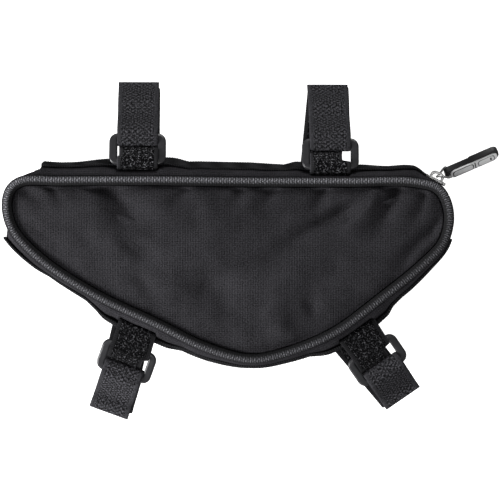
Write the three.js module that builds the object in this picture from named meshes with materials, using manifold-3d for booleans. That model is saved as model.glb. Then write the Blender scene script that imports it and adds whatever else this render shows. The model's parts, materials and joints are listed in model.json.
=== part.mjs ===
// Bicycle frame bag lying on its back: a hollow nylon bag with piped front and back panels, a zipped
// gusset between them, two lengths of webbing on the gusset, and four strap loops with plastic rings.
// Millimetres. X runs along the bag, Y across it towards the top tube side, Z up from the floor.
import * as THREE from 'three';
import { mergeVertices } from 'three/addons/utils/BufferGeometryUtils.js';
import Module from 'manifold-3d';

const wasm = await Module();
wasm.setup();

// Bag
const bagLength = 221.7;
const bagHeight = 92.4;
const bagDepth = 48;
const pipingDiameter = 5.2;
const clothWall = 1.4;
const seamGap = 0.3;
const panelCrown = 6.5;
const foldDepth = 1.1;
const gussetBulge = 8.6;

// Zip
const zipTapeWall = 1.2;
const coilRise = 0.9;
const sliderLength = 11;
const sliderWidth = 8.6;
const sliderPlate = 1.5;
const sliderLowerLength = 6;
const sliderLowerWidth = 6.4;
const sliderLowerGap = 1.3;
const bailLength = 6.6;
const bailHeight = 3.4;
const bailWidth = 1.8;
const bailBar = 1.0;
const sliderPostLength = 1.6;

// Zip pull
const linkWire = 1.2;
const linkLength = 6.4;
const tabLength = 28;
const tabWidth = 9;
const tabThickness = 4;
const tabStart = 4;
const tabStep = 0.8;
const tabEdgeRadius = 0.9;
const tabRootRadius = 2;
const tabEndRadius = 3;
const pullAngle = 23.4;
const pullRoll = 26;
const plateLength = 20.6;
const plateWidth = 5.6;
const plateThickness = 0.8;
const plateCornerRadius = 1.8;

// Webbing
const webbingWidth = 20;
const webbingThickness = 1.3;
const webbingFrontEdge = 6.9;

// Straps and rings
const strapWidth = 20.2;
const strapThickness = 1.3;
const strapSlack = 0.6;
const ringWidth = 28;
const ringLength = 16.2;
const ringBar = 3.2;
const ringBarHeight = 2.4;
const ringCornerRadius = 2.6;
const foldHeight = 10;
const foldDrop = 4.5;

// Heights worked out from the sizes above
const pipingRadius = pipingDiameter / 2;
const frontLine = bagDepth - pipingRadius;
const backLine = pipingRadius;
const lineDepth = frontLine - backLine;
const halfLength = (bagLength - pipingDiameter) / 2;
const halfHeight = (bagHeight - pipingDiameter) / 2;
const seatRadius = pipingRadius + seamGap;

// The line that both pipings follow, clockwise from the left shoulder: one row for each bend, as
// shares of half the length and half the height between the piping centres.
const outlineBends = [
  { along: -0.931, up: 0.994 },
  { along: -0.759, up: 1.0 },
  { along: -0.352, up: 1.003 },
  { along: 0.101, up: 0.988 },
  { along: 0.553, up: 0.986 },
  { along: 0.848, up: 0.981 },
  { along: 0.956, up: 0.896 },
  { along: 1.0, up: 0.638 },
  { along: 0.976, up: 0.32 },
  { along: 0.884, up: 0.067 },
  { along: 0.694, up: -0.317 },
  { along: 0.476, up: -0.711 },
  { along: 0.25, up: -0.936 },
  { along: 0.101, up: -1.0 },
  { along: -0.103, up: -0.868 },
  { along: -0.32, up: -0.606 },
  { along: -0.605, up: -0.268 },
  { along: -0.85, up: 0.132 },
  { along: -0.974, up: 0.469 },
  { along: -1.0, up: 0.739 },
  { along: -0.981, up: 0.907 },
];

// How far the gusset stands outside the piping line, at the webbing's front edge and at its back
// edge, as shares of the gusset's bulge. The place is a share of the way round the outline.
const gussetSections = [
  { place: 0.0, front: 0.34, back: 0.36 },
  { place: 0.017, front: 0.6, back: 0.76 },
  { place: 0.06, front: 0.62, back: 0.84 },
  { place: 0.111, front: 0.53, back: 0.87 },
  { place: 0.17, front: 0.65, back: 1.0 },
  { place: 0.22, front: 0.65, back: 0.98 },
  { place: 0.254, front: 0.58, back: 0.86 },
  { place: 0.275, front: 0.37, back: 0.72 },
  { place: 0.322, front: 0.36, back: 0.6 },
  { place: 0.345, front: 0.47, back: 0.58 },
  { place: 0.379, front: 0.52, back: 0.58 },
  { place: 0.405, front: 0.3, back: 0.3 },
  { place: 0.45, front: 0.28, back: 0.3 },
  { place: 0.51, front: 0.49, back: 0.58 },
  { place: 0.557, front: 0.53, back: 0.65 },
  { place: 0.622, front: 0.47, back: 0.56 },
  { place: 0.681, front: 0.35, back: 0.4 },
  { place: 0.72, front: 0.47, back: 0.58 },
  { place: 0.811, front: 0.53, back: 0.69 },
  { place: 0.855, front: 0.4, back: 0.43 },
  { place: 0.946, front: 0.33, back: 0.35 },
  { place: 1.0, front: 0.34, back: 0.36 },
];

// The gusset's shape from the front piping (0) to the back piping (1): how much of the front reach
// and of the back reach it has at each depth.
const webbingTop = webbingFrontEdge / lineDepth;
const webbingEnd = (webbingFrontEdge + webbingWidth) / lineDepth;
const gussetProfile = [
  { down: 0.5 * webbingTop, front: 0.92, back: 0 },
  { down: webbingTop, front: 1, back: 0 },
  { down: webbingEnd, front: 0, back: 1 },
  { down: 0.5 * (webbingEnd + 1), front: 0, back: 0.97 },
  { down: 0.93, front: 0, back: 0.8 },
];

// Where the zip's front tape, its coil and its back tape start, as shares of the depth, and where the
// zip starts and ends, as shares of the way round the outline.
const zipBands = { front: webbingEnd + 0.03, coil: 0.755, back: 0.87 };
const zipSpan = { from: 0.008, to: 0.413 };
const sliderPlace = 0.3997;

// Lift of the webbing off the gusset, as shares of the room that a strap needs behind it.
const topWebbingLift = [
  { place: 0.017, lift: 0.75 },
  { place: 0.05, lift: 0.5 },
  { place: 0.08, lift: 1 },
  { place: 0.143, lift: 1 },
  { place: 0.165, lift: 0 },
  { place: 0.25, lift: 0 },
  { place: 0.267, lift: 1 },
  { place: 0.329, lift: 1 },
  { place: 0.355, lift: 0.6 },
  { place: 0.379, lift: 0.9 },
  { place: 0.39, lift: 0.1 },
];
const bottomWebbingLift = [
  { place: 0.452, lift: 0 },
  { place: 0.505, lift: 0 },
  { place: 0.532, lift: 0.35 },
  { place: 0.544, lift: 1.15 },
  { place: 0.607, lift: 1.15 },
  { place: 0.63, lift: 0 },
  { place: 0.74, lift: 0 },
  { place: 0.762, lift: 1 },
  { place: 0.826, lift: 1.25 },
  { place: 0.84, lift: 0.5 },
  { place: 0.855, lift: 0 },
  { place: 0.885, lift: 0 },
  { place: 0.908, lift: 0.6 },
  { place: 0.945, lift: 1.1 },
];

// One row for each strap: where it crosses the piping line and its lean in degrees. The slack between
// the gusset and the ring is a share of the ring's length, and the heights of the ring's bars are
// shares of the loop's height. How far the far fold and the tail's end lie past the ring, and how far
// the loop has slipped sideways at its fold and behind the webbing, are shares of the strap's width.
const straps = [
  {
    name: 'top_left', place: 0.1113, lean: 0, slack: 0.052, innerLift: 0.02, outerLift: -0.32,
    fold: 1.203, tail: 1.361, foldSlip: 0.045, backSlip: 0.074,
  },
  {
    name: 'top_right', place: 0.2983, lean: 0, slack: 0.035, innerLift: 0.02, outerLift: -0.32,
    fold: 1.347, tail: 1.416, foldSlip: -0.03, backSlip: -0.218,
  },
  {
    name: 'bottom_right', place: 0.5757, lean: -1.5, slack: 0.555, innerLift: -0.4, outerLift: -0.66,
    fold: 0.748, tail: 0.837, foldSlip: 0.05, backSlip: 0.208,
  },
  {
    name: 'bottom_left', place: 0.7937, lean: 4.4, slack: 0.552, innerLift: -0.4, outerLift: -0.66,
    fold: 0.866, tail: 1.035, foldSlip: -0.05, backSlip: 0.158,
  },
];

// Hollows and ridges of the front panel, each a line from one place to another, as shares of half
// the length and half the height, with its depth as a share of the fold depth and its width as a
// share of half the height.
const panelFolds = [
  { name: 'left hollow', x0: -0.65, y0: 0.84, x1: -0.46, y1: 0.39, depth: 1, width: 0.17 },
  { name: 'left shoulder', x0: -0.92, y0: 0.88, x1: -0.84, y1: 0.78, depth: 0.6, width: 0.1 },
  { name: 'top crease', x0: -0.17, y0: 0.9, x1: -0.24, y1: 0.76, depth: 0.4, width: 0.08 },
  { name: 'long fold', x0: 0.71, y0: 0.87, x1: 0.33, y1: 0.36, depth: 0.9, width: 0.12 },
  { name: 'corner fold', x0: 0.89, y0: 0.78, x1: 0.75, y1: 0.45, depth: 0.9, width: 0.1 },
  { name: 'middle fold', x0: 0.46, y0: 0.84, x1: 0.19, y1: 0.39, depth: 0.5, width: 0.14 },
  { name: 'right dip', x0: 0.91, y0: 0.22, x1: 0.71, y1: -0.23, depth: 0.7, width: 0.12 },
  { name: 'low dimple', x0: 0.35, y0: -0.47, x1: 0.38, y1: -0.45, depth: 0.5, width: 0.14 },
];

// Panels: rings from the rim (1) to the middle (0), with their rise as a share of the crown.
const frontPanelRings = [
  { reach: 0.96, rise: 0.14 },
  { reach: 0.88, rise: 0.42 },
  { reach: 0.76, rise: 0.66 },
  { reach: 0.61, rise: 0.84 },
  { reach: 0.44, rise: 0.94 },
  { reach: 0.24, rise: 0.99 },
];
const backPanelRings = [
  { reach: 0.96, rise: 0.25 },
  { reach: 0.88, rise: 0 },
  { reach: 0.5, rise: 0 },
];
const panelMiddle = { along: 0.02, up: 0.2 };
const panelOuterSeat = THREE.MathUtils.degToRad(10);
const panelInnerSeat = THREE.MathUtils.degToRad(42);
const stationCount = 70;

// Materials, one for each finish
const finish = (color, roughness, metalness = 0) => ({ color, roughness, metalness });
const finishes = {
  ripstop: finish(0x242427, 0.7),
  piping: finish(0x2b2b2f, 0.8),
  tape: finish(0x1c1c1f, 0.85),
  coil: finish(0x161618, 0.55),
  webbing: finish(0x1e1e20, 0.8),
  strap: finish(0x232327, 0.85),
  plastic: finish(0x2a2a2d, 0.4),
  metal: finish(0xb9bbbf, 0.3, 1),
  rubber: finish(0x1a1a1b, 0.5),
  plate: finish(0xd9d9dc, 0.35),
};

// A closed solid from points and triangles: coincident points are welded, flat triangles dropped,
// and the faces turned outwards if they point in.
function solidGeometry(positions, index) {
  const raw = new THREE.BufferGeometry();
  raw.setAttribute('position', new THREE.Float32BufferAttribute(positions, 3));
  raw.setIndex(index);
  const welded = mergeVertices(raw, 1e-4);
  const corners = welded.getIndex().array;
  const kept = [];
  for (let i = 0; i < corners.length; i += 3) {
    const [a, b, c] = corners.slice(i, i + 3);
    if (a !== b && b !== c && a !== c) kept.push(a, b, c);
  }
  const place = welded.getAttribute('position');
  const p = new THREE.Vector3();
  const q = new THREE.Vector3();
  const r = new THREE.Vector3();
  let volume = 0;
  for (let i = 0; i < kept.length; i += 3) {
    p.fromBufferAttribute(place, kept[i]);
    q.fromBufferAttribute(place, kept[i + 1]);
    r.fromBufferAttribute(place, kept[i + 2]);
    volume += p.dot(q.cross(r));
  }
  if (volume < 0) kept.reverse();
  welded.setIndex(kept);
  welded.computeVertexNormals();
  return welded;
}

// Skins a row of rings, each with an even number of points. An open row gets a cap at each end,
// built between the ring's first half and its second half.
function loft(rings, closed) {
  const count = rings[0].length;
  const index = [];
  const spans = closed ? rings.length : rings.length - 1;
  for (let r = 0; r < spans; r += 1) {
    const next = ((r + 1) % rings.length) * count;
    for (let k = 0; k < count; k += 1) {
      const a = r * count + k;
      const b = r * count + ((k + 1) % count);
      const c = next + ((k + 1) % count);
      const d = next + k;
      index.push(a, b, c, a, c, d);
    }
  }
  if (!closed) {
    const last = (rings.length - 1) * count;
    for (let k = 0; k < count / 2 - 1; k += 1) {
      const near = [k, k + 1, count - 2 - k, count - 1 - k];
      index.push(near[0], near[2], near[1], near[0], near[3], near[2]);
      const far = near.map((i) => i + last);
      index.push(far[0], far[1], far[2], far[0], far[2], far[3]);
    }
  }
  return solidGeometry(rings.flat().flatMap((point) => point.toArray()), index);
}

// Value of one column of a table at a place, on the straight line between two rows.
function rowValue(rows, key, place, column) {
  if (place <= rows[0][key]) return rows[0][column];
  for (let i = 1; i < rows.length; i += 1) {
    if (place <= rows[i][key]) {
      const share = (place - rows[i - 1][key]) / (rows[i][key] - rows[i - 1][key]);
      return THREE.MathUtils.lerp(rows[i - 1][column], rows[i][column], share);
    }
  }
  return rows[rows.length - 1][column];
}

// Outline and its stations. All pieces share these stations, so that their facets stay parallel.
const bendPoints = outlineBends.map(
  (bend) => new THREE.Vector3(bend.along * halfLength, bend.up * halfHeight, 0),
);
const outline = new THREE.CatmullRomCurve3(bendPoints, true, 'centripetal');
outline.arcLengthDivisions = 2000;

function outlineFrame(place) {
  const wrapped = THREE.MathUtils.euclideanModulo(place, 1);
  const travel = outline.getTangentAt(wrapped);
  return {
    place,
    point: outline.getPointAt(wrapped),
    outward: new THREE.Vector3(-travel.y, travel.x, 0),
    front: gussetBulge * rowValue(gussetSections, 'place', wrapped, 'front'),
    back: gussetBulge * rowValue(gussetSections, 'place', wrapped, 'back'),
  };
}

// Stations lie closer together where the outline turns: each has a like share of length and turn.
function spreadStations(count) {
  const samples = 1600;
  const turnWeight = 3;
  const totals = [0];
  let travel = outline.getTangentAt(0);
  for (let i = 1; i <= samples; i += 1) {
    const next = outline.getTangentAt((i % samples) / samples);
    totals.push(totals[i - 1] + 2 * Math.PI / samples + turnWeight * travel.angleTo(next));
    travel = next;
  }
  const whole = totals[samples];
  const places = [];
  let at = 0;
  for (let i = 0; i < count; i += 1) {
    while (totals[at + 1] < (whole * i) / count) at += 1;
    const share = ((whole * i) / count - totals[at]) / (totals[at + 1] - totals[at]);
    places.push((at + share) / samples);
  }
  return places.map(outlineFrame);
}
const stations = spreadStations(stationCount);

// Frame at any place, on the straight run between two stations. Places run on past 1.
function frameAt(place) {
  const lap = Math.floor(place);
  const within = place - lap;
  let after = stations.findIndex((station) => station.place > within);
  if (after < 0) after = stations.length;
  const a = stations[after - 1];
  const b = after === stations.length ? { ...stations[0], place: 1 } : stations[after];
  const share = (within - a.place) / (b.place - a.place);
  return {
    place,
    point: a.point.clone().lerp(b.point, share),
    outward: a.outward.clone().lerp(b.outward, share),
    front: THREE.MathUtils.lerp(a.front, b.front, share),
    back: THREE.MathUtils.lerp(a.back, b.back, share),
  };
}

function framesBetween(from, to) {
  const frames = [frameAt(from)];
  for (let lap = 0; lap < 2; lap += 1) {
    for (const station of stations) {
      const place = station.place + lap;
      if (place > from + 1e-4 && place < to - 1e-4) frames.push({ ...station, place });
    }
  }
  frames.push(frameAt(to));
  return frames;
}

// The gap between pieces, as a share of the outline's length and of the depth
const gapAlong = seamGap / outline.getLength();
const gapDown = seamGap / lineDepth;

// A point beside a frame: so far outside the piping line, at a height.
function beside(frame, out, height) {
  return frame.point.clone().addScaledVector(frame.outward, out).setZ(height);
}

const heightAt = (down) => frontLine - down * lineDepth;

function gussetReach(frame, down) {
  const front = rowValue(gussetProfile, 'down', down, 'front');
  const back = rowValue(gussetProfile, 'down', down, 'back');
  return frame.front * front + frame.back * back;
}

// The gusset's wall between two depths. Where it meets a piping, its edge sits on the cord.
const outerSeat = THREE.MathUtils.degToRad(20);
const innerSeat = THREE.MathUtils.degToRad(52);

function wallRing(frame, from, to, wall) {
  const outer = [];
  const inner = [];
  const seat = (line, way) => {
    outer.push(beside(frame, seatRadius * Math.cos(outerSeat), line - way * seatRadius * Math.sin(outerSeat)));
    inner.push(beside(frame, seatRadius * Math.cos(innerSeat), line - way * seatRadius * Math.sin(innerSeat)));
  };
  const row = (down) => {
    const reach = gussetReach(frame, down);
    outer.push(beside(frame, reach, heightAt(down)));
    inner.push(beside(frame, reach - wall, heightAt(down)));
  };
  if (from === 0) seat(frontLine, 1);
  else row(from);
  for (const { down } of gussetProfile) {
    if (down > from + 0.02 && down < to - 0.02) row(down);
  }
  if (to === 1) seat(backLine, -1);
  else row(to);
  return [...outer, ...inner.reverse()];
}

function wallSolid(from, to, placeFrom, placeTo, wall) {
  return loft(framesBetween(placeFrom, placeTo).map((frame) => wallRing(frame, from, to, wall)), false);
}

// Piping: a cord all the way round, with flat sides that touch its own diameter.
function pipingSolid(line, sides) {
  const rings = stations.map((frame) => {
    const ring = [];
    for (let k = 0; k < sides; k += 1) {
      const turn = (2 * Math.PI * k) / sides;
      ring.push(beside(frame, pipingRadius * Math.cos(turn), line + pipingRadius * Math.sin(turn)));
    }
    return ring;
  });
  return loft(rings, true);
}

// Zip coil: a low rounded ridge between the tapes, from one side of its band (0) to the other (1)
const coilSection = [
  { across: 0, rise: 0 },
  { across: 0.25, rise: coilRise },
  { across: 0.75, rise: coilRise },
  { across: 1, rise: 0 },
  { across: 0.9, rise: -zipTapeWall },
  { across: 0.1, rise: -zipTapeWall },
];

function coilSolid(placeFrom, placeTo) {
  const { coil, back } = zipBands;
  const band = back - coil - 2 * gapDown;
  const rings = framesBetween(placeFrom, placeTo).map((frame) => {
    const reach = gussetReach(frame, (coil + back) / 2);
    return coilSection.map(
      ({ across, rise }) => beside(frame, reach + rise, heightAt(coil + gapDown + across * band)),
    );
  });
  return loft(rings, false);
}

// Depth of a panel's folds at a place
function foldAt(x, y) {
  let depth = 0;
  for (const fold of panelFolds) {
    const from = new THREE.Vector2(fold.x0 * halfLength, fold.y0 * halfHeight);
    const along = new THREE.Vector2(fold.x1 * halfLength, fold.y1 * halfHeight).sub(from);
    const offset = new THREE.Vector2(x, y).sub(from);
    const share = THREE.MathUtils.clamp(offset.dot(along) / along.lengthSq(), 0, 1);
    const distance = offset.sub(along.multiplyScalar(share)).length();
    depth += fold.depth * Math.exp(-((distance / (fold.width * halfHeight)) ** 2));
  }
  return depth * foldDepth;
}

// A panel: a disc with a rim that sits on the inner side of its piping. Way is 1 for the front.
function panelSolid(line, way, rings, crown, folded) {
  const middle = new THREE.Vector3(panelMiddle.along * halfLength, panelMiddle.up * halfHeight, 0);
  const base = line - way * seatRadius * Math.sin(panelOuterSeat);
  const profile = stations.map((frame) => {
    const seat = (angle) => beside(
      frame,
      -seatRadius * Math.cos(angle),
      line - way * seatRadius * Math.sin(angle),
    );
    const rim = seat(panelOuterSeat);
    const surface = (reach, rise) => {
      const point = middle.clone().lerp(rim, reach);
      const fold = folded ? foldAt(point.x, point.y) : 0;
      return point.setZ(base + way * (crown * rise - fold));
    };
    const outer = [rim, ...rings.map((ring) => surface(ring.reach, ring.rise)), surface(0, rings.at(-1).rise)];
    const inner = outer.slice(1).map((point) => point.clone().setZ(point.z - way * clothWall));
    return [...outer, ...inner.reverse(), seat(panelInnerSeat)];
  });
  return loft(profile, true);
}

// Webbing: a flat band whose front and back edges follow the gusset, lifted where straps pass.
const strapRoom = strapThickness + 2 * seamGap + strapSlack;

function webbingReach(frame, lifts) {
  const place = THREE.MathUtils.euclideanModulo(frame.place, 1);
  const off = Math.max(seamGap, strapRoom * rowValue(lifts, 'place', place, 'lift'));
  return { front: frame.front + off, back: frame.back + off };
}

function webbingSolid(lifts) {
  const rings = framesBetween(lifts[0].place, lifts.at(-1).place).map((frame) => {
    const reach = webbingReach(frame, lifts);
    return [
      beside(frame, reach.front + webbingThickness, heightAt(webbingTop)),
      beside(frame, reach.back + webbingThickness, heightAt(webbingEnd)),
      beside(frame, reach.back, heightAt(webbingEnd)),
      beside(frame, reach.front, heightAt(webbingTop)),
    ];
  });
  return loft(rings, false);
}

// Rounds the corners of a line of points. Each corner has a radius and a number of steps.
function roundedLine(corners) {
  const line = [corners[0].at.clone()];
  for (let i = 1; i < corners.length - 1; i += 1) {
    const { at, radius, steps } = corners[i];
    const before = corners[i - 1].at.clone().sub(at);
    const after = corners[i + 1].at.clone().sub(at);
    const reach = Math.min(radius, 0.49 * before.length(), 0.49 * after.length());
    const start = at.clone().addScaledVector(before.normalize(), reach);
    const end = at.clone().addScaledVector(after.normalize(), reach);
    const bend = new THREE.QuadraticBezierCurve3(start, at, end);
    line.push(...bend.getPoints(steps));
  }
  line.push(corners.at(-1).at.clone());
  return line;
}

// The frame of a strap: across its width, out from the bag, and the places of its ring's two bars.
const webbingFrontHeight = heightAt(webbingTop);
const webbingBackHeight = heightAt(webbingEnd);
const ringHeight = webbingFrontHeight + ringBarHeight / 2 + strapThickness + 2 * seamGap;

function strapFrame(strap) {
  const frame = frameAt(strap.place);
  const innerBar = frame.front + strapThickness + 2 * seamGap + ringBar / 2 + strap.slack * ringLength;
  const out = frame.outward.clone().normalize().applyAxisAngle(
    new THREE.Vector3(0, 0, 1),
    THREE.MathUtils.degToRad(strap.lean),
  );
  const across = new THREE.Vector3(out.y, -out.x, 0);
  const at = (reach, side, height) => frame.point.clone()
    .addScaledVector(out, reach)
    .addScaledVector(across, side)
    .setZ(height);
  return {
    at,
    innerBar,
    outerBar: innerBar + ringLength - ringBar,
    innerHeight: ringHeight + strap.innerLift * foldHeight,
    outerHeight: ringHeight + strap.outerLift * foldHeight,
  };
}

// Where one edge of a strap crosses the gusset. A strap is straight across, so where the gusset
// bulges between its edges both edges stand off by that bulge.
function gussetCrossing(place, slip, side, edge) {
  const half = strapWidth / 2;
  const crossing = (way) => {
    const frame = frameAt(place + (way * half + slip) / outline.getLength());
    return beside(frame, frame[edge] + seamGap + strapThickness / 2, 0);
  };
  const { outward } = frameAt(place);
  const chord = crossing(-1).lerp(crossing(1), 0.5);
  const bulge = Math.max(0, crossing(0).sub(chord).dot(outward));
  return crossing(side).addScaledVector(outward, bulge);
}

// The way of a strap: from its sewn end round the ring's inner bar, behind the webbing, out along
// the back of the loop, round the far fold, back under the ring's outer bar, and over it as a tail.
const wrap = ringBar / 2 + seamGap + strapThickness / 2;
const rise = ringBarHeight / 2 + seamGap + strapThickness / 2;
const turn = strapThickness + 2 * seamGap;
const innerLoose = ringBar / 4;
const outerLoose = 0.56 * ringBar;
const smallBend = 1.2 * strapThickness;
const wideBend = 2 * strapThickness;
const foldBend = 0.48 * foldHeight;
const settleShare = 0.2;

function strapCorners(strap, side) {
  const { at, innerBar, outerBar, innerHeight, outerHeight } = strapFrame(strap);
  const edge = (side * strapWidth) / 2;
  const foldEdge = edge + strap.foldSlip * strapWidth;
  const entry = gussetCrossing(strap.place, 0, side, 'front');
  const exit = gussetCrossing(strap.place, strap.backSlip * strapWidth, side, 'back');
  const foldFloor = webbingBackHeight - foldDrop;
  const foldTop = foldFloor + foldHeight;
  const fold = outerBar + strap.fold * strapWidth;
  const tail = outerBar + strap.tail * strapWidth;
  const endFold = innerBar + innerLoose + wrap;
  const nearFold = outerBar - outerLoose - wrap;
  const under = outerHeight - rise;
  const slope = (under - foldTop) / (fold - nearFold);
  const tailGap = (strapThickness + seamGap) * Math.hypot(1, slope);
  const tailHeight = (reach) => foldTop + slope * (fold - reach) + tailGap;
  const settle = fold - settleShare * strapWidth;
  return [
    { at: at(innerBar + innerLoose, edge, innerHeight - rise) },
    { at: at(endFold, edge, innerHeight - rise), radius: rise, steps: 3 },
    { at: at(endFold, edge, innerHeight + rise), radius: rise, steps: 3 },
    { at: at(innerBar - ringBar / 2, edge, innerHeight + rise), radius: smallBend, steps: 2 },
    { at: entry.setZ(webbingFrontHeight + turn), radius: smallBend, steps: 3 },
    { at: exit.setZ(webbingBackHeight - turn), radius: wideBend, steps: 3 },
    { at: at(fold, foldEdge, foldFloor), radius: foldBend, steps: 4 },
    { at: at(fold, foldEdge, foldTop), radius: foldBend, steps: 4 },
    { at: at(nearFold, edge, under), radius: wrap, steps: 3 },
    { at: at(nearFold, edge, outerHeight + rise), radius: wrap, steps: 3 },
    { at: at(outerBar + ringBar / 2, edge, outerHeight + rise), radius: smallBend, steps: 2 },
    { at: at(settle, edge, tailHeight(settle)), radius: wideBend, steps: 2 },
    { at: at(tail, edge, tailHeight(tail)) },
  ];
}

function strapSolid(strap) {
  const left = roundedLine(strapCorners(strap, -1));
  const right = roundedLine(strapCorners(strap, 1));
  const rings = left.map((edge, i) => {
    const before = Math.max(i - 1, 0);
    const after = Math.min(i + 1, left.length - 1);
    const travel = left[after].clone().add(right[after]).sub(left[before]).sub(right[before]);
    const face = travel.cross(right[i].clone().sub(edge)).setLength(strapThickness / 2);
    return [
      edge.clone().add(face),
      right[i].clone().add(face),
      right[i].clone().sub(face),
      edge.clone().sub(face),
    ];
  });
  return loft(rings, false);
}

// A ring: a rounded bar bent to a rectangle, lying in the slope between its two bars.
function ringSolid(strap) {
  const { at, innerBar, outerBar, innerHeight, outerHeight } = strapFrame(strap);
  const halfWidth = (ringWidth - ringBar) / 2;
  const halfLong = (ringLength - ringBar) / 2;
  const middle = { reach: (innerBar + outerBar) / 2, height: (innerHeight + outerHeight) / 2 };
  const fall = Math.atan2(outerHeight - innerHeight, outerBar - innerBar);
  const flat = 1 / Math.cos(Math.PI / 8);
  const section = [];
  for (let k = 0; k < 8; k += 1) {
    const angle = (Math.PI * (k + 0.5)) / 4;
    section.push({
      side: (flat * ringBar * Math.cos(angle)) / 2,
      up: (flat * ringBarHeight * Math.sin(angle)) / 2,
    });
  }
  const rings = [];
  const cornerSigns = [[1, 1], [-1, 1], [-1, -1], [1, -1]];
  cornerSigns.forEach(([sx, sy], corner) => {
    for (let step = 0; step <= 3; step += 1) {
      const angle = (Math.PI / 2) * (corner + step / 3);
      const centre = { x: sx * (halfWidth - ringCornerRadius), y: sy * (halfLong - ringCornerRadius) };
      rings.push(section.map(({ side, up }) => {
        const radius = ringCornerRadius + side;
        const x = centre.x + radius * Math.cos(angle);
        const y = centre.y + radius * Math.sin(angle);
        const reach = middle.reach + y * Math.cos(fall) - up * Math.sin(fall);
        const height = middle.height + y * Math.sin(fall) + up * Math.cos(fall);
        return at(reach, x, height);
      }));
    }
  });
  return loft(rings, true);
}

// Joins and cuts, on welded solids
function toManifold(geometry) {
  const bare = geometry.clone();
  bare.deleteAttribute('normal');
  bare.deleteAttribute('uv');
  const welded = mergeVertices(bare, 1e-4);
  return new wasm.Manifold(new wasm.Mesh({
    numProp: 3,
    vertProperties: new Float32Array(welded.getAttribute('position').array),
    triVerts: new Uint32Array(welded.getIndex().array),
  }));
}

function fromManifold(solid) {
  const mesh = solid.getMesh();
  return solidGeometry(Array.from(mesh.vertProperties), Array.from(mesh.triVerts));
}

function roundedRectangle(x0, y0, x1, y1, radius) {
  const shape = new THREE.Shape();
  shape.moveTo(x0 + radius, y0);
  shape.lineTo(x1 - radius, y0);
  shape.absarc(x1 - radius, y0 + radius, radius, -Math.PI / 2, 0);
  shape.lineTo(x1, y1 - radius);
  shape.absarc(x1 - radius, y1 - radius, radius, 0, Math.PI / 2);
  shape.lineTo(x0 + radius, y1);
  shape.absarc(x0 + radius, y1 - radius, radius, Math.PI / 2, Math.PI);
  shape.lineTo(x0, y0 + radius);
  shape.absarc(x0 + radius, y0 + radius, radius, Math.PI, 1.5 * Math.PI);
  return shape;
}

// Zip slider, in its own axes: x along the zip, y out of the bag, z across the zip. The coil ends
// under its middle, and the post between its plates stands in the open end.
const sliderLift = coilRise + seamGap;
const sliderTop = sliderLift + sliderPlate;

function sliderSolid() {
  const flat = { depth: sliderPlate, bevelEnabled: false, curveSegments: 3 };
  const halfLong = sliderLength / 2;
  const halfWide = sliderWidth / 2;
  const upperShape = roundedRectangle(-halfLong, -halfWide, halfLong, halfWide, halfWide / 2);
  const upper = new THREE.ExtrudeGeometry(upperShape, flat).rotateX(-Math.PI / 2).translate(0, sliderLift, 0);
  const lowerHeight = -zipTapeWall - sliderLowerGap - sliderPlate;
  const lower = new THREE.BoxGeometry(sliderLowerLength, sliderPlate, sliderLowerWidth)
    .translate(0, lowerHeight + sliderPlate / 2, 0);
  const postHeight = sliderLift + sliderPlate / 3 - lowerHeight;
  const post = new THREE.BoxGeometry(sliderPostLength, postHeight, bailWidth)
    .translate((sliderLowerLength - sliderPostLength) / 2, lowerHeight + postHeight / 2, 0);
  const bailOutside = bailLength / 2;
  const bailInside = bailOutside - bailBar;
  const bailFoot = sliderTop - sliderPlate / 3;
  const bailTop = sliderTop + bailHeight;
  const arch = roundedRectangle(-bailOutside, bailFoot, bailOutside, bailTop, 1.6 * bailBar);
  arch.holes.push(roundedRectangle(-bailInside, sliderTop, bailInside, bailTop - bailBar, 0.8 * bailBar));
  const bail = new THREE.ExtrudeGeometry(arch, { depth: bailWidth, bevelEnabled: false, curveSegments: 3 })
    .translate(0, 0, -bailWidth / 2);
  const pieces = [lower, post, bail].map(toManifold);
  return fromManifold(pieces.reduce((whole, piece) => whole.add(piece), toManifold(upper)));
}

// Pull link, in the pull's axes: x out along the pull, z up. One end lies through the bail, and the
// other, turned by the pull's roll, goes through the tab.
const roll = THREE.MathUtils.degToRad(pullRoll);
const faceWay = new THREE.Vector3(0, -Math.cos(roll), Math.sin(roll));

function linkSolid() {
  const near = bailWidth / 2 + seamGap + linkWire;
  const far = tabThickness / 2 + seamGap + linkWire / 2;
  const nearWay = new THREE.Vector3(0, 0, 1);
  const straightShare = 0.6;
  const nearBend = 0.35 * linkWire;
  const farBend = linkLength - 0.6 * linkWire;
  const point = (x, way, reach) => way.clone().multiplyScalar(reach).setX(x);
  const wire = new THREE.CatmullRomCurve3([
    point(0, nearWay, straightShare * near),
    point(0, nearWay, -straightShare * near),
    point(nearBend, nearWay, -near),
    point(farBend, faceWay, -far),
    point(linkLength, faceWay, -straightShare * far),
    point(linkLength, faceWay, straightShare * far),
    point(farBend, faceWay, far),
    point(nearBend, nearWay, near),
  ], true, 'centripetal');
  const tube = new THREE.TubeGeometry(wire, 24, linkWire / 2, 6, true);
  return solidGeometry(Array.from(tube.getAttribute('position').array), Array.from(tube.getIndex().array));
}

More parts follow.
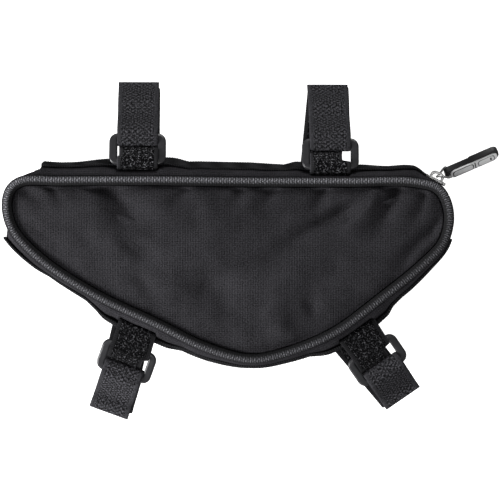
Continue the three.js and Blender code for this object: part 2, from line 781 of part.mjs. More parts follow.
// Pull tab: a rubber grip with rounded edges, a step half way along one side, and a hole at its root
function tabSolid() {
  const half = tabWidth / 2;
  const stepAt = tabStart + tabLength / 2;
  const root = tabStart + tabRootRadius;
  const end = tabStart + tabLength - tabEndRadius;
  const shape = new THREE.Shape();
  shape.moveTo(root, -half);
  shape.absarc(end, -half + tabEndRadius, tabEndRadius, -Math.PI / 2, 0);
  shape.absarc(end, half - tabEndRadius, tabEndRadius, 0, Math.PI / 2);
  shape.lineTo(stepAt, half);
  shape.lineTo(stepAt - tabStep, half - tabStep);
  shape.absarc(root, half - tabStep - tabRootRadius, tabRootRadius, Math.PI / 2, Math.PI);
  shape.absarc(root, -half + tabRootRadius, tabRootRadius, Math.PI, 1.5 * Math.PI);
  const grip = new THREE.ExtrudeGeometry(shape, {
    depth: tabThickness - 2 * tabEdgeRadius,
    bevelThickness: tabEdgeRadius,
    bevelSize: tabEdgeRadius,
    bevelOffset: -tabEdgeRadius,
    bevelSegments: 2,
    curveSegments: 4,
  }).translate(0, 0, -tabThickness / 2 + tabEdgeRadius);
  const holeRadius = linkWire / 2 + seamGap;
  const hole = new THREE.CylinderGeometry(holeRadius, holeRadius, 2 * tabThickness, 12)
    .rotateX(Math.PI / 2)
    .translate(linkLength, 0, 0);
  return fromManifold(toManifold(grip).subtract(toManifold(hole)));
}

// Pull plate: a thin stadium on the tab's face, its margin the same at the end and at the sides
function plateSolid() {
  const half = plateWidth / 2;
  const end = tabStart + tabLength - (tabWidth - plateWidth) / 2;
  const shape = roundedRectangle(end - plateLength, -half, end, half, plateCornerRadius);
  return new THREE.ExtrudeGeometry(shape, { depth: plateThickness, bevelEnabled: false, curveSegments: 3 })
    .translate(0, 0, tabThickness / 2 + seamGap);
}

// Assembly
const bag = new THREE.Group();

function addPiece(name, geometry, look, parent = bag) {
  const mesh = new THREE.Mesh(geometry, new THREE.MeshStandardMaterial(finishes[look]));
  mesh.name = name;
  parent.add(mesh);
  return mesh;
}

const frontBand = zipBands.front;
addPiece('front_panel', panelSolid(frontLine, 1, frontPanelRings, panelCrown, true), 'ripstop');
const backCrown = backLine + seatRadius * Math.sin(panelOuterSeat);
const backRings = backPanelRings.map(({ reach, rise }) => ({ reach, rise: 1 - rise }));
addPiece('back_panel', panelSolid(backLine, -1, backRings, backCrown, false), 'ripstop');
addPiece('piping_front', pipingSolid(frontLine, 8), 'piping');
addPiece('piping_back', pipingSolid(backLine, 8), 'piping');
addPiece('gusset_top', wallSolid(0, frontBand - gapDown, zipSpan.from, zipSpan.to, clothWall), 'ripstop');
addPiece('gusset_bottom', wallSolid(0, 1, zipSpan.to + gapAlong, zipSpan.from + 1 - gapAlong, clothWall), 'ripstop');
addPiece('zip_tape_front', wallSolid(frontBand, zipBands.coil, zipSpan.from, zipSpan.to, zipTapeWall), 'tape');
addPiece('zip_tape_back', wallSolid(zipBands.back, 1, zipSpan.from, zipSpan.to, zipTapeWall), 'tape');
addPiece('zip_coil', coilSolid(zipSpan.from, sliderPlace), 'coil');
addPiece('webbing_top', webbingSolid(topWebbingLift), 'webbing');
addPiece('webbing_bottom', webbingSolid(bottomWebbingLift), 'webbing');

for (const strap of straps) {
  addPiece(`strap_${strap.name}`, strapSolid(strap), 'strap');
  addPiece(`ring_${strap.name}`, ringSolid(strap), 'plastic');
}

// Slider and pull, placed on the zip at the corner
const coilMiddle = (zipBands.coil + zipBands.back) / 2;
const sliderFrame = frameAt(sliderPlace);
const sliderWay = Math.atan2(sliderFrame.outward.y, sliderFrame.outward.x) - Math.PI / 2;
const slider = new THREE.Group();
slider.position.copy(beside(sliderFrame, gussetReach(sliderFrame, coilMiddle), heightAt(coilMiddle)));
slider.rotation.z = sliderWay;
addPiece('zip_slider', sliderSolid(), 'metal', slider);
bag.add(slider);

const pull = new THREE.Group();
pull.position.set(0, sliderTop + (bailHeight - bailBar) / 2, 0);
pull.rotation.z = THREE.MathUtils.degToRad(pullAngle) - sliderWay;
addPiece('pull_link', linkSolid(), 'metal', pull);
const grip = new THREE.Group();
grip.rotation.x = Math.PI / 2 - roll;
addPiece('pull_tab', tabSolid(), 'rubber', grip);
addPiece('pull_plate', plateSolid(), 'plate', grip);
pull.add(grip);
slider.add(pull);

export default bag;
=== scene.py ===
import bisect
import json
import math

import bmesh
import bpy
from mathutils import Matrix, Vector, noise


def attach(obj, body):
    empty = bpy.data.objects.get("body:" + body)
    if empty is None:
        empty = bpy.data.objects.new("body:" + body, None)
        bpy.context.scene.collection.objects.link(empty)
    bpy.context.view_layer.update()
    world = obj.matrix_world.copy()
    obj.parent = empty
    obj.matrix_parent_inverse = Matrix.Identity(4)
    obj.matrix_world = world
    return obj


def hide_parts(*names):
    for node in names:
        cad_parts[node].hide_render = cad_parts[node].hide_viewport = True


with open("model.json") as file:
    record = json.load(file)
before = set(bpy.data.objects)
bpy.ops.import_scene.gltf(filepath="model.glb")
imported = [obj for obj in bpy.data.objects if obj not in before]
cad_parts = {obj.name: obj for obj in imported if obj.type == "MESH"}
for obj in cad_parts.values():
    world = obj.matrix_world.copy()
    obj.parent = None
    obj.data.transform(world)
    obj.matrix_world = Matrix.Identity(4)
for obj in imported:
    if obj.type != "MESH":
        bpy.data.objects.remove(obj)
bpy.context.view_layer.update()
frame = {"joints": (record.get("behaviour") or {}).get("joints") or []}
mm = 0.001

# Piping: a soft cord covered in woven tape and sewn into the seam round the front panel, and a second
# one round the back panel. The ends of the tape butt together at the left shoulder. Both cords
# follow one seam line, given here by its bends, clockwise from that shoulder.
piping_radius = 2.6 * mm
half_length = 221.7 / 2 * mm - piping_radius
half_height = 92.4 / 2 * mm - piping_radius
front_line = 48 * mm - piping_radius
back_line = piping_radius
line_depth = front_line - back_line
seam_bends = [
    (-0.931, 0.994), (-0.759, 1.0), (-0.352, 1.003), (0.101, 0.988), (0.553, 0.986), (0.848, 0.981),
    (0.956, 0.896), (1.0, 0.638), (0.976, 0.32), (0.884, 0.067), (0.694, -0.317), (0.476, -0.711),
    (0.25, -0.936), (0.101, -1.0), (-0.103, -0.868), (-0.32, -0.606), (-0.605, -0.268), (-0.85, 0.132),
    (-0.974, 0.469), (-1.0, 0.739), (-0.981, 0.907),
]


def bent_line(points, steps):
    """Points along a closed line that bends smoothly through the given ones."""
    line = []
    for i in range(len(points)):
        p0, p1, p2, p3 = (points[(i + k - 1) % len(points)] for k in range(4))
        d0, d1, d2 = ((b - a).length ** 0.5 for a, b in ((p0, p1), (p1, p2), (p2, p3)))
        leave = ((p1 - p0) / d0 - (p2 - p0) / (d0 + d1) + (p2 - p1) / d1) * d1
        reach = ((p2 - p1) / d1 - (p3 - p1) / (d1 + d2) + (p3 - p2) / d2) * d1
        for step in range(steps):
            t = step / steps
            line.append(
                p1 + leave * t + (3 * (p2 - p1) - 2 * leave - reach) * t ** 2
                + (2 * (p1 - p2) + leave + reach) * t ** 3
            )
    return line


seam_line = bent_line([Vector((x * half_length, y * half_height, 0)) for x, y in seam_bends], 40)
seam_runs = [0.0]
for a, b in zip(seam_line, seam_line[1:] + seam_line[:1]):
    seam_runs.append(seam_runs[-1] + (b - a).length)
seam_length = seam_runs[-1]


def seam_at(place):
    """The point on the seam line at a share of the way round it, and the way out of the bag there."""
    count = len(seam_line)
    run = (place % 1.0) * seam_length
    i = min(bisect.bisect_right(seam_runs, run), count) - 1
    share = (run - seam_runs[i]) / (seam_runs[i + 1] - seam_runs[i])
    before, a, b, after = (seam_line[(i + k) % count] for k in (-1, 0, 1, 2))
    travel = (b - before).lerp(after - a, share).normalized()
    return a.lerp(b, share), Vector((-travel.y, travel.x, 0))


def beside(place, out, height):
    """A point so far outside the seam line, at a height."""
    point, outward = seam_at(place)
    point = point + outward * out
    point.z = height
    return point


def places(start, end, step):
    """Shares of the way round, from start to end, about a step apart."""
    count = max(2, round((end - start) * seam_length / step))
    return [start + (end - start) * i / count for i in range(count + 1)]


def skin(lines, loop_along=False, loop_across=False):
    """A mesh through lines of points, with a UV map in millimetres across the lines and along them."""
    shape = bmesh.new()
    row = shape.verts.layers.int.new("row")
    spot = shape.verts.layers.int.new("spot")
    cloth_map = shape.loops.layers.uv.new("UVMap")
    rows = lines + lines[:1] if loop_across else lines
    verts = [shape.verts.new(point) for point in rows[0]]
    for i, vert in enumerate(verts):
        vert[spot] = i
    edges = [shape.edges.new(pair) for pair in zip(verts, verts[1:] + verts[:1 if loop_along else 0])]
    for r, line in enumerate(rows[1:], 1):
        grown = bmesh.ops.extrude_edge_only(shape, edges=edges)["geom"]
        fresh = {item for item in grown if isinstance(item, bmesh.types.BMVert)}
        edges = [
            item for item in grown
            if isinstance(item, bmesh.types.BMEdge) and item.verts[0] in fresh and item.verts[1] in fresh
        ]
        for vert in fresh:
            vert[row] = r
            vert.co = line[vert[spot]]
    count = len(lines[0])
    across = [0.0]
    for a, b in zip(rows, rows[1:]):
        across.append(across[-1] + (b[count // 2] - a[count // 2]).length / mm)
    along = [0.0]
    for a, b in zip(rows[0], rows[0][1:] + rows[0][:1]):
        along.append(along[-1] + (b - a).length / mm)
    for face in shape.faces:
        spots = {vert[spot] for vert in face.verts}
        wraps = loop_along and 0 in spots and count - 1 in spots
        for loop in face.loops:
            i = loop.vert[spot]
            loop[cloth_map].uv = across[loop.vert[row]], along[count if wraps and i == 0 else i]
    bmesh.ops.remove_doubles(shape, verts=shape.verts, dist=1e-7)
    if loop_across and not loop_along:
        bmesh.ops.holes_fill(shape, edges=[edge for edge in shape.edges if edge.is_boundary], sides=0)
    bmesh.ops.recalc_face_normals(shape, faces=shape.faces)
    return shape


def make_piece(name, shape, looks, nodes, body="bag"):
    """Makes a finished object of a mesh: its materials, its body and the solids it stands for."""
    mesh = bpy.data.meshes.new(name)
    shape.to_mesh(mesh)
    shape.free()
    for look in looks:
        mesh.materials.append(look)
    mesh.shade_smooth()
    piece = bpy.data.objects.new(name, mesh)
    bpy.context.scene.collection.objects.link(piece)
    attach(piece, body)
    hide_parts(*nodes)


def node(tree, kind, inputs=None, **settings):
    """Adds one shader node, with its settings, and its inputs as numbers or as other nodes' sockets."""
    made = tree.nodes.new("ShaderNode" + kind)
    for key, value in settings.items():
        setattr(made, key, value)
    for key, value in (inputs or {}).items():
        if isinstance(value, bpy.types.NodeSocket):
            tree.links.new(value, made.inputs[key])
        else:
            made.inputs[key].default_value = value
    return made


def maths(tree, operation, a, b=0.0, c=0.0):
    """One sum of up to three numbers or sockets."""
    return node(tree, "Math", {0: a, 1: b, 2: c}, operation=operation).outputs[0]


def start_look(name):
    """A new material: its tree, its surface shader, and the two directions of its cloth in millimetres."""
    look = bpy.data.materials.new(name)
    look.use_nodes = True
    tree = look.node_tree
    shader = tree.nodes["Principled BSDF"]
    spot = node(tree, "TexCoord").outputs["UV"]
    split = node(tree, "SeparateXYZ", {0: spot})
    return look, tree, shader, spot, split.outputs["X"], split.outputs["Y"]


def ribs(tree, way, pitch):
    """Waves from 0 to 1 along one direction, so many millimetres apart."""
    turn = maths(tree, "MULTIPLY", way, 2 * math.pi / pitch)
    return maths(tree, "MULTIPLY_ADD", maths(tree, "SINE", turn), 0.5, 0.5)


def grain(tree, spot, size, detail=2.0, stretch=(1, 1, 1)):
    """Noise from 0 to 1 with grains of so many millimetres."""
    placed = node(tree, "Mapping", {"Vector": spot, "Scale": stretch}).outputs[0]
    return node(
        tree, "TexNoise", {"Vector": placed, "Scale": 1 / size, "Detail": detail, "Roughness": 0.6},
    ).outputs["Fac"]


def held(tree, amount, least=0.0):
    """Keeps an amount between a least one and 1."""
    return node(tree, "Clamp", {0: amount, 1: least}).outputs[0]


def paint(tree, shader, amount, dark, light):
    """Gives the surface a colour between two, by an amount from 0 to 1."""
    mix = node(
        tree, "Mix", {0: amount, 6: (*dark, 1), 7: (*light, 1)}, data_type="RGBA", clamp_factor=True,
    )
    tree.links.new(mix.outputs[2], shader.inputs["Base Color"])


def relief(tree, shader, height, depth, strength):
    """Raises the surface by a height from 0 to 1, so deep in millimetres."""
    bump = node(tree, "Bump", {"Height": height, "Distance": depth * mm, "Strength": strength})
    tree.links.new(bump.outputs[0], shader.inputs["Normal"])


def set_shader(shader, **values):
    """Sets plain numbers on the surface shader's own sockets."""
    for key, value in values.items():
        shader.inputs[key.replace("_", " ")].default_value = value


piping_look, tree, shader, spot, across, along = start_look("piping tape")
zigzag = maths(tree, "PINGPONG", across, 1.25)
twill = ribs(tree, maths(tree, "ADD", zigzag, along), 1.9)
twill = maths(tree, "MULTIPLY_ADD", twill, 0.75, 0.25)
flecks = maths(tree, "POWER", ribs(tree, along, 1.15), 1.5)
flecks = maths(tree, "MULTIPLY_ADD", flecks, 0.85, 0.15)
speck = maths(tree, "MULTIPLY_ADD", grain(tree, spot, 0.55, 1.0), 3.6, -0.9)
weave = maths(tree, "MULTIPLY", maths(tree, "MULTIPLY", twill, flecks), speck)
# The weave's light yarns show in a painted highlight over the cord's upper outer side, so many millimetres
# round it from the outer one, and painted shade darkens the rest of the cord. More painted shade darkens it
# towards the low side of the bag.
highlight_middle = 3.0
shaded_below, unshaded_above = 20 * mm, 42 * mm
off_highlight = maths(tree, "ABSOLUTE", maths(tree, "SUBTRACT", across, highlight_middle))
# Painted highlight: the colour is lightest round the cord's upper outer side and falls to painted shade
# round the rest of it
crown = held(tree, maths(tree, "MULTIPLY_ADD", off_highlight, -0.58, 1.25), 0.05)
# Painted shade: the cord's colour darkens towards the low side of the bag, to half its lightness at the
# bottom
on_bag = node(tree, "TexCoord").outputs["Object"]
up_the_bag = node(tree, "SeparateXYZ", {0: on_bag}).outputs["Y"]
low_side_shade = node(tree, "MapRange", {0: up_the_bag, 1: shaded_below, 2: unshaded_above, 3: 0.5, 4: 1.0}).outputs[0]
# The colour and the bumps follow the weave with its painted highlight and painted shade
weave = maths(tree, "MULTIPLY", maths(tree, "MULTIPLY", weave, crown), low_side_shade)
paint(tree, shader, weave, (0.006, 0.006, 0.0065), (0.37, 0.368, 0.4))
set_shader(shader, Roughness=0.75, Specular_IOR_Level=0.1)
relief(tree, shader, weave, 0.3, 0.9)

cord_radius = 2.35 * mm
cord_unevenness = 0.05 * mm
cord_sides = 18
for name, line in (("front", front_line), ("back", back_line)):
    stations = places(0, 1, 1.3 * mm)[:-1]
    lines = []
    for k in range(cord_sides):
        turn = 2 * math.pi * k / cord_sides
        radii = [cord_radius + cord_unevenness * noise.noise(Vector((p * 60, k * 0.4, 3))) for p in stations]
        lines.append([
            beside(place, radius * math.cos(turn), line + piping_radius * math.sin(turn))
            for place, radius in zip(stations, radii)
        ])
    cord = skin(lines, loop_along=True, loop_across=True)
    make_piece(f"{name}_piping_cord", cord, [piping_look], [f"piping_{name}"])

# Front and back panels: light ripstop nylon, cut to the outline and sewn in behind the piping. The
# front one is puffed up by the foam behind it, with the hollows and folds that the photograph shows.
# The back one lies flat.
seam_gap = 0.3 * mm
seat_radius = piping_radius + seam_gap
panel_seats = (math.radians(10), math.radians(42))
panel_wall = 1.4 * mm
panel_middle = Vector((0.02 * half_length, 0.2 * half_height, 0))
panel_crown = 6.5 * mm
crown_rows = [
    (0, 0.99), (0.24, 0.97), (0.44, 0.9), (0.61, 0.76), (0.76, 0.57), (0.88, 0.35), (0.96, 0.13), (1, 0),
]
# Each fold goes from one point to another, as shares of half the length and half the height. Then
# come its depth, as a share of fold_scale, and its width, as a share of half the height. One with a
# depth below 0 is a ridge.
fold_scale = 3.9 * mm
fold_wander = 2.6 * mm
wander_size = 17 * mm
panel_folds = [
    (-0.55, 0.93, -0.4, 0.45, 1.15, 0.15), (-0.92, 0.88, -0.84, 0.74, 0.5, 0.08),
    (-0.8, 0.9, -0.72, 0.66, 0.35, 0.06), (-0.66, 0.5, -0.57, 0.0, 0.35, 0.13),
    (-0.9, 0.5, -0.78, 0.3, 0.3, 0.07), (-0.42, -0.05, -0.3, -0.4, 0.35, 0.1),
    (-0.17, 0.95, -0.25, 0.72, 0.4, 0.07), (0.1, 0.8, -0.1, 0.35, -0.5, 0.17),
    (0.23, 0.95, 0.13, 0.66, 0.5, 0.08), (0.45, 0.95, 0.35, 0.6, 0.6, 0.08),
    (0.57, 0.7, 0.25, 0.28, 1.2, 0.1), (0.69, 0.94, 0.61, 0.55, -0.55, 0.07),
    (0.76, 0.85, 0.66, 0.38, 1.0, 0.075), (0.89, 0.88, 0.82, 0.5, 0.55, 0.06),
    (0.92, 0.42, 0.76, 0.0, 0.75, 0.085), (-0.16, -0.22, 0.1, -0.32, 0.7, 0.24),
    (0.18, -0.46, 0.26, -0.5, -0.35, 0.14), (0.36, -0.44, 0.42, -0.38, 0.4, 0.12),
    (-0.3, 0.2, -0.1, 0.1, -0.3, 0.2), (0.5, 0.1, 0.38, -0.12, 0.3, 0.12),
    (-0.46, 0.3, -0.3, 0.05, 0.6, 0.12), (-0.1, 0.8, -0.06, 0.45, -0.3, 0.13),
    (0.06, 0.9, 0.02, 0.6, 0.5, 0.09), (0.6, 0.75, 0.56, 0.4, -0.4, 0.075),
    (-0.1, -0.15, -0.02, -0.55, 0.3, 0.16), (0.22, -0.6, 0.28, -0.8, -0.45, 0.1),
]


def bent_value(rows, at):
    """A value from rows of (place, value), bending smoothly through them."""
    if at <= rows[0][0]:
        return rows[0][1]
    for i in range(1, len(rows)):
        if at <= rows[i][0]:
            (x0, y0), (x1, y1) = rows[i - 1], rows[i]
            before, after = rows[max(i - 2, 0)], rows[min(i + 1, len(rows) - 1)]
            rise0 = (y1 - before[1]) / (x1 - before[0])
            rise1 = (after[1] - y0) / (after[0] - x0)
            t, span = (at - x0) / (x1 - x0), x1 - x0
            return (
                y0 + rise0 * span * t + (3 * (y1 - y0) - (2 * rise0 + rise1) * span) * t ** 2
                + (2 * (y0 - y1) + (rise0 + rise1) * span) * t ** 3
            )
    return rows[-1][1]


def fold_depth(x, y):
    """How deep the folds are at a point of the front panel. They wander, and fade away from the seam."""
    spot = Vector((x, y, 0)) / wander_size
    x += fold_wander * noise.noise(spot)
    y += fold_wander * noise.noise(spot + Vector((9, 4, 2)))
    depth = 0.0
    for x0, y0, x1, y1, deep, width in panel_folds:
        start = Vector((x0 * half_length, y0 * half_height))
        run = Vector((x1 * half_length, y1 * half_height)) - start
        off = Vector((x, y)) - start
        share = off.dot(run) / run.length_squared
        from_seam = y0 > 0.8 or x0 > 0.88
        near_start = 1 if from_seam else min(max((share + 0.35) / 0.5, 0), 1)
        near_end = min(max((1.35 - share) / 0.85, 0), 1)
        fade = (near_start * near_end) ** 1.3
        share = min(max(share, -0.3), 1.3)
        across_fold = (off - run * share).length / (width * (0.8 + 0.5 * max(share, 0)) * half_height)
        depth += fold_scale * deep * fade * math.exp(-(across_fold ** 2))
    return depth


ripstop_look, tree, shader, spot, across, along = start_look("ripstop nylon")
warp_lines = maths(tree, "POWER", ribs(tree, across, 1.27), 3)
weft_lines = maths(tree, "POWER", ribs(tree, along, 1.05), 3)
uneven_warp = grain(tree, spot, 2.4, 2.0, (1, 0.05, 1))
uneven_weft = grain(tree, spot, 2.0, 2.0, (0.05, 1, 1))
warp_patch = grain(tree, spot, 22, 1.0)
warp_threads = maths(tree, "MULTIPLY", warp_lines, maths(tree, "MULTIPLY", uneven_warp, warp_patch))
weft_threads = maths(tree, "MULTIPLY", weft_lines, maths(tree, "MULTIPLY", uneven_weft, 0.3))
threads = maths(tree, "SUBTRACT", warp_threads, weft_threads)
mottle = grain(tree, spot, 0.62, 2.0)
cloud = grain(tree, spot, 16, 3.0)
shade = maths(tree, "MULTIPLY_ADD", maths(tree, "SUBTRACT", mottle, 0.5), 2.3, 0.42)
shade = maths(tree, "MULTIPLY_ADD", threads, 1.2, shade)
shade = maths(tree, "MULTIPLY_ADD", maths(tree, "SUBTRACT", cloud, 0.5), 0.7, shade)
paint(tree, shader, shade, (0.006, 0.0059, 0.0065), (0.047, 0.0455, 0.051))
set_shader(shader, Roughness=0.85, Specular_IOR_Level=0.05)
height = maths(tree, "MULTIPLY_ADD", mottle, 0.7, maths(tree, "MULTIPLY", threads, 0.8))
relief(tree, shader, height, 0.12, 0.6)


def map_flat(shape):
    """Sets the cloth's UV map flat from above, so that the weave runs straight over the panel."""
    cloth_map = shape.loops.layers.uv["UVMap"]
    for face in shape.faces:
        for loop in face.loops:
            loop[cloth_map].uv = loop.vert.co.x / mm, loop.vert.co.y / mm


face_rows = 44
soft_waves = ((24 * mm, 0.9 * mm), (9 * mm, 0.22 * mm))


def panel(line, way, crown, rows, step, folded):
    """A panel as one closed skin: over its face from the rim to the middle, and back under it."""
    stations = places(0, 1, step)[:-1]
    base = line - way * seat_radius * math.sin(panel_seats[0])
    rims = [
        [beside(p, -seat_radius * math.cos(a), line - way * seat_radius * math.sin(a)) for p in stations]
        for a in panel_seats
    ]
    reaches = [1 - (i / face_rows) ** 1.5 for i in range(1, face_rows + 1)]

    def surface(reach, wall):
        line_points = []
        for place, rim in zip(stations, rims[0]):
            point = panel_middle.lerp(rim, reach)
            z = crown * bent_value(rows, reach)
            if folded:
                near_rim = math.exp(-(1 - reach) * (rim - panel_middle).length / (5 * mm))
                fade = min(1, (1 - reach) * 25)
                pucker = noise.noise(Vector((place * seam_length / (4.5 * mm), reach * 3, 7)))
                soft = sum(high * noise.noise(point / size) for size, high in soft_waves)
                z += fade * (0.4 * mm * near_rim * pucker + soft - fold_depth(point.x, point.y))
            point.z = base + way * (z - wall)
            line_points.append(point)
        return line_points

    face = [surface(reach, 0) for reach in reaches]
    under = [surface(reach, panel_wall) for reach in (0, 0.2, 0.4, 0.6, 0.75, 0.88, 0.96)]
    shape = skin([rims[0], *face, *under, rims[1]], loop_along=True, loop_across=True)
    map_flat(shape)
    return shape


make_piece(
    "front_panel_cloth", panel(front_line, 1, panel_crown, crown_rows, 1.4 * mm, True),
    [ripstop_look], ["front_panel"],
)
back_crown = back_line + seat_radius * math.sin(panel_seats[0])
back_rows = [(0, 1), (0.86, 1), (0.93, 0.86), (0.97, 0.62), (1, 0)]
make_piece(
    "back_panel_cloth", panel(back_line, -1, back_crown, back_rows, 3 * mm, False),
    [ripstop_look], ["back_panel"],
)

# Gusset: the bag's side wall, a strip of the same ripstop sewn between the two pipings. It bulges
# between its seams and is puckered along them. Over the top and round the corner its back half
# gives way to the zip.
webbing_from = 6.9 * mm / line_depth
webbing_to = 26.9 * mm / line_depth
gusset_bulge = 8.6 * mm
gusset_seats = (math.radians(20), math.radians(52))
# Place round the seam, and how far the gusset stands out at the webbing's front and back edges, as
# shares of its bulge
gusset_rows = [
    (0.0, 0.34, 0.36), (0.017, 0.6, 0.76), (0.06, 0.62, 0.84), (0.111, 0.53, 0.87), (0.17, 0.65, 1.0),
    (0.22, 0.65, 0.98), (0.254, 0.58, 0.86), (0.275, 0.37, 0.72), (0.322, 0.36, 0.6), (0.345, 0.47, 0.58),
    (0.379, 0.52, 0.58), (0.405, 0.3, 0.3), (0.45, 0.28, 0.3), (0.51, 0.49, 0.58), (0.557, 0.53, 0.65),
    (0.622, 0.47, 0.56), (0.681, 0.35, 0.4), (0.72, 0.47, 0.58), (0.811, 0.53, 0.69), (0.855, 0.4, 0.43),
    (0.946, 0.33, 0.35), (1.0, 0.34, 0.36),
]
# Where the zip starts and ends round the seam, and the depths where its front tape, its coil and its
# back tape begin
zip_from, zip_to = 0.008, 0.413
band_front, band_coil, band_back = webbing_to + 0.03, 0.755, 0.87
gap_down = seam_gap / line_depth
gap_along = seam_gap / seam_length


def row_value(rows, place, column):
    """A value from rows of (place, values), on straight lines between them."""
    place = place % 1.0
    if place <= rows[0][0]:
        return rows[0][column]
    for a, b in zip(rows, rows[1:]):
        if place <= b[0]:
            share = (place - a[0]) / (b[0] - a[0])
            return a[column] + (b[column] - a[column]) * share
    return rows[-1][column]


# How far the webbing stands off the bag, as a share of the room for a strap, on the top and below.
# The gusset swells until it fills that room. It swells less where a strap presses on it, and leaves
# a slit beside the lower left strap.
webbing_thick = 1.3 * mm
strap_room = 2.5 * mm
top_lift = [
    (0.017, 0.75), (0.05, 0.5), (0.08, 1), (0.143, 1), (0.165, 0), (0.25, 0), (0.267, 1), (0.329, 1),
    (0.355, 0.6), (0.379, 0.9), (0.39, 0.1),
]
bottom_lift = [
    (0.452, 0), (0.505, 0), (0.532, 0.35), (0.544, 1.15), (0.607, 1.15), (0.63, 0), (0.74, 0), (0.762, 1),
    (0.826, 1.25), (0.84, 0.5), (0.855, 0), (0.885, 0), (0.908, 0.6), (0.945, 1.1),
]
strap_spans = [(0.0919, 0.1307), (0.2789, 0.3177), (0.5575, 0.5951), (0.7748, 0.8131)]
pressed_fill = 0.8 * mm
fill_overlap = 0.25 * mm
slit_place, slit_reach, slit_depth = 0.8185, 0.003, 0.5 * mm


def webbing_lift(lifts, place):
    """How far the webbing stands off at a place."""
    return max(seam_gap, strap_room * bent_value(lifts, place))


def filling(place):
    """How far the gusset swells into the room behind the webbing."""
    place = place % 1.0
    for lifts in (top_lift, bottom_lift):
        if lifts[0][0] - 0.002 <= place <= lifts[-1][0] + 0.004:
            away = min(max(start - place, place - end, 0) for start, end in strap_spans)
            near_end = min(1, (place - lifts[0][0] + 0.002) / 0.0015, (lifts[-1][0] + 0.004 - place) / 0.004)
            slit = slit_depth * math.exp(-(((place - slit_place) / slit_reach) ** 2))
            room = (webbing_lift(lifts, place) + fill_overlap - slit) * near_end
            return pressed_fill + (room - pressed_fill) * min(1, away / 0.0006)
    return 0.0


def gusset_reach(place, down):
    """How far the gusset stands out of the seam line, at a share of the depth."""
    front = gusset_bulge * row_value(gusset_rows, place, 1)
    back = gusset_bulge * row_value(gusset_rows, place, 2)
    fill = filling(place)
    seat = seat_radius * math.cos(gusset_seats[0])
    middle = (webbing_from + webbing_to) / 2
    return bent_value([
        (0.023, seat), (0.081, max(0.92 * front, seat) + 0.4 * fill), (webbing_from, front + 0.6 * fill),
        (middle, (front + back) / 2 + fill), (webbing_to, back), (0.81, 0.97 * back), (0.93, 0.8 * back),
        (0.977, seat),
    ], down)


def height_at(down):
    """Height of a share of the depth, from the front seam line to the back one."""
    return front_line - down * line_depth


def pucker(place, down):
    """The gusset's wrinkles: short ones that die away from the seams, and slow ones in between."""
    run = place * seam_length / mm
    near = math.exp(-down / 0.07) + math.exp(-(1 - down) / 0.07)
    short = noise.noise(Vector((run / 3.6, down * 3, 11)))
    slow = noise.noise(Vector((run / 13, down * 4, 5)))
    return (0.3 * near * short + 0.35 * slow * min(1, down * (1 - down) * 9)) * mm


def wall(start, end, top, bottom, thick, rows, wrinkled=True):
    """A closed wall between two depths. Where it meets a piping, its edge sits on the cord."""
    stations = places(start, end, 0.9 * mm)
    depths = [top + (bottom - top) * i / rows for i in range(rows + 1)]
    outer, inner = [], []
    for down in depths:
        if down in (0, 1):
            line, way = (front_line, 1) if down == 0 else (back_line, -1)
            for lines, angle in zip((outer, inner), gusset_seats):
                lines.append([
                    beside(p, seat_radius * math.cos(angle), line - way * seat_radius * math.sin(angle))
                    for p in stations
                ])
            continue
        if not 0.03 < down < 0.97:
            continue  # too near a cord, where the row on the cord stands instead
        reaches = [gusset_reach(p, down) + (pucker(p, down) if wrinkled else 0) for p in stations]
        outer.append([beside(p, r, height_at(down)) for p, r in zip(stations, reaches)])
        if len(inner) < 2 or down > bottom - 0.01 or len(outer) % 3 == 0:
            inner.append([beside(p, r - thick, height_at(down)) for p, r in zip(stations, reaches)])
    return skin(outer + inner[::-1], loop_across=True)


make_piece(
    "top_gusset_cloth", wall(zip_from, zip_to, 0, band_front - gap_down, panel_wall, 18),
    [ripstop_look], ["gusset_top"],
)
make_piece(
    "bottom_gusset_cloth", wall(zip_to + gap_along, 1 + zip_from - gap_along, 0, 1, panel_wall, 26),
    [ripstop_look], ["gusset_bottom"],
)

# Zip tapes: two bands of fine woven tape, sewn to the gusset and to the back piping, with the coil
# between them.
tape_look, tree, shader, spot, across, along = start_look("zip tape")
tape_ribs = maths(tree, "MULTIPLY", ribs(tree, across, 0.7), ribs(tree, along, 0.45))
tape_grain = grain(tree, spot, 0.6)
tape_shade = maths(tree, "MULTIPLY_ADD", tape_ribs, 0.7, maths(tree, "MULTIPLY", tape_grain, 0.3))
paint(tree, shader, tape_shade, (0.005, 0.005, 0.0055), (0.03, 0.03, 0.033))
set_shader(shader, Roughness=0.7, Specular_IOR_Level=0.15)
relief(tree, shader, maths(tree, "ADD", tape_ribs, maths(tree, "MULTIPLY", tape_grain, 0.4)), 0.15, 0.7)
for name, top, bottom in (("front", band_front, band_coil), ("back", band_back, 1)):
    make_piece(
        f"{name}_zip_tape_cloth", wall(zip_from, zip_to, top, bottom, 1.2 * mm, 8, False),
        [tape_look], [f"zip_tape_{name}"],
    )

# Zip coil: two rows of nylon turns that mesh along the middle. The zip is closed from the left
# shoulder to the slider at the right corner.
slider_place = 0.3997
coil_rise = 0.9 * mm
coil_pitch = 1.35 * mm
coil_swell = 0.14 * mm
coil_down = (band_coil + band_back) / 2
coil_look, tree, shader, spot, _, _ = start_look("zip coil nylon")
coil_grain = grain(tree, spot, 0.5)
paint(tree, shader, coil_grain, (0.008, 0.008, 0.009), (0.022, 0.022, 0.024))
set_shader(shader, Roughness=0.36)
relief(tree, shader, coil_grain, 0.03, 0.5)
coil_band = band_back - band_coil - 2 * gap_down
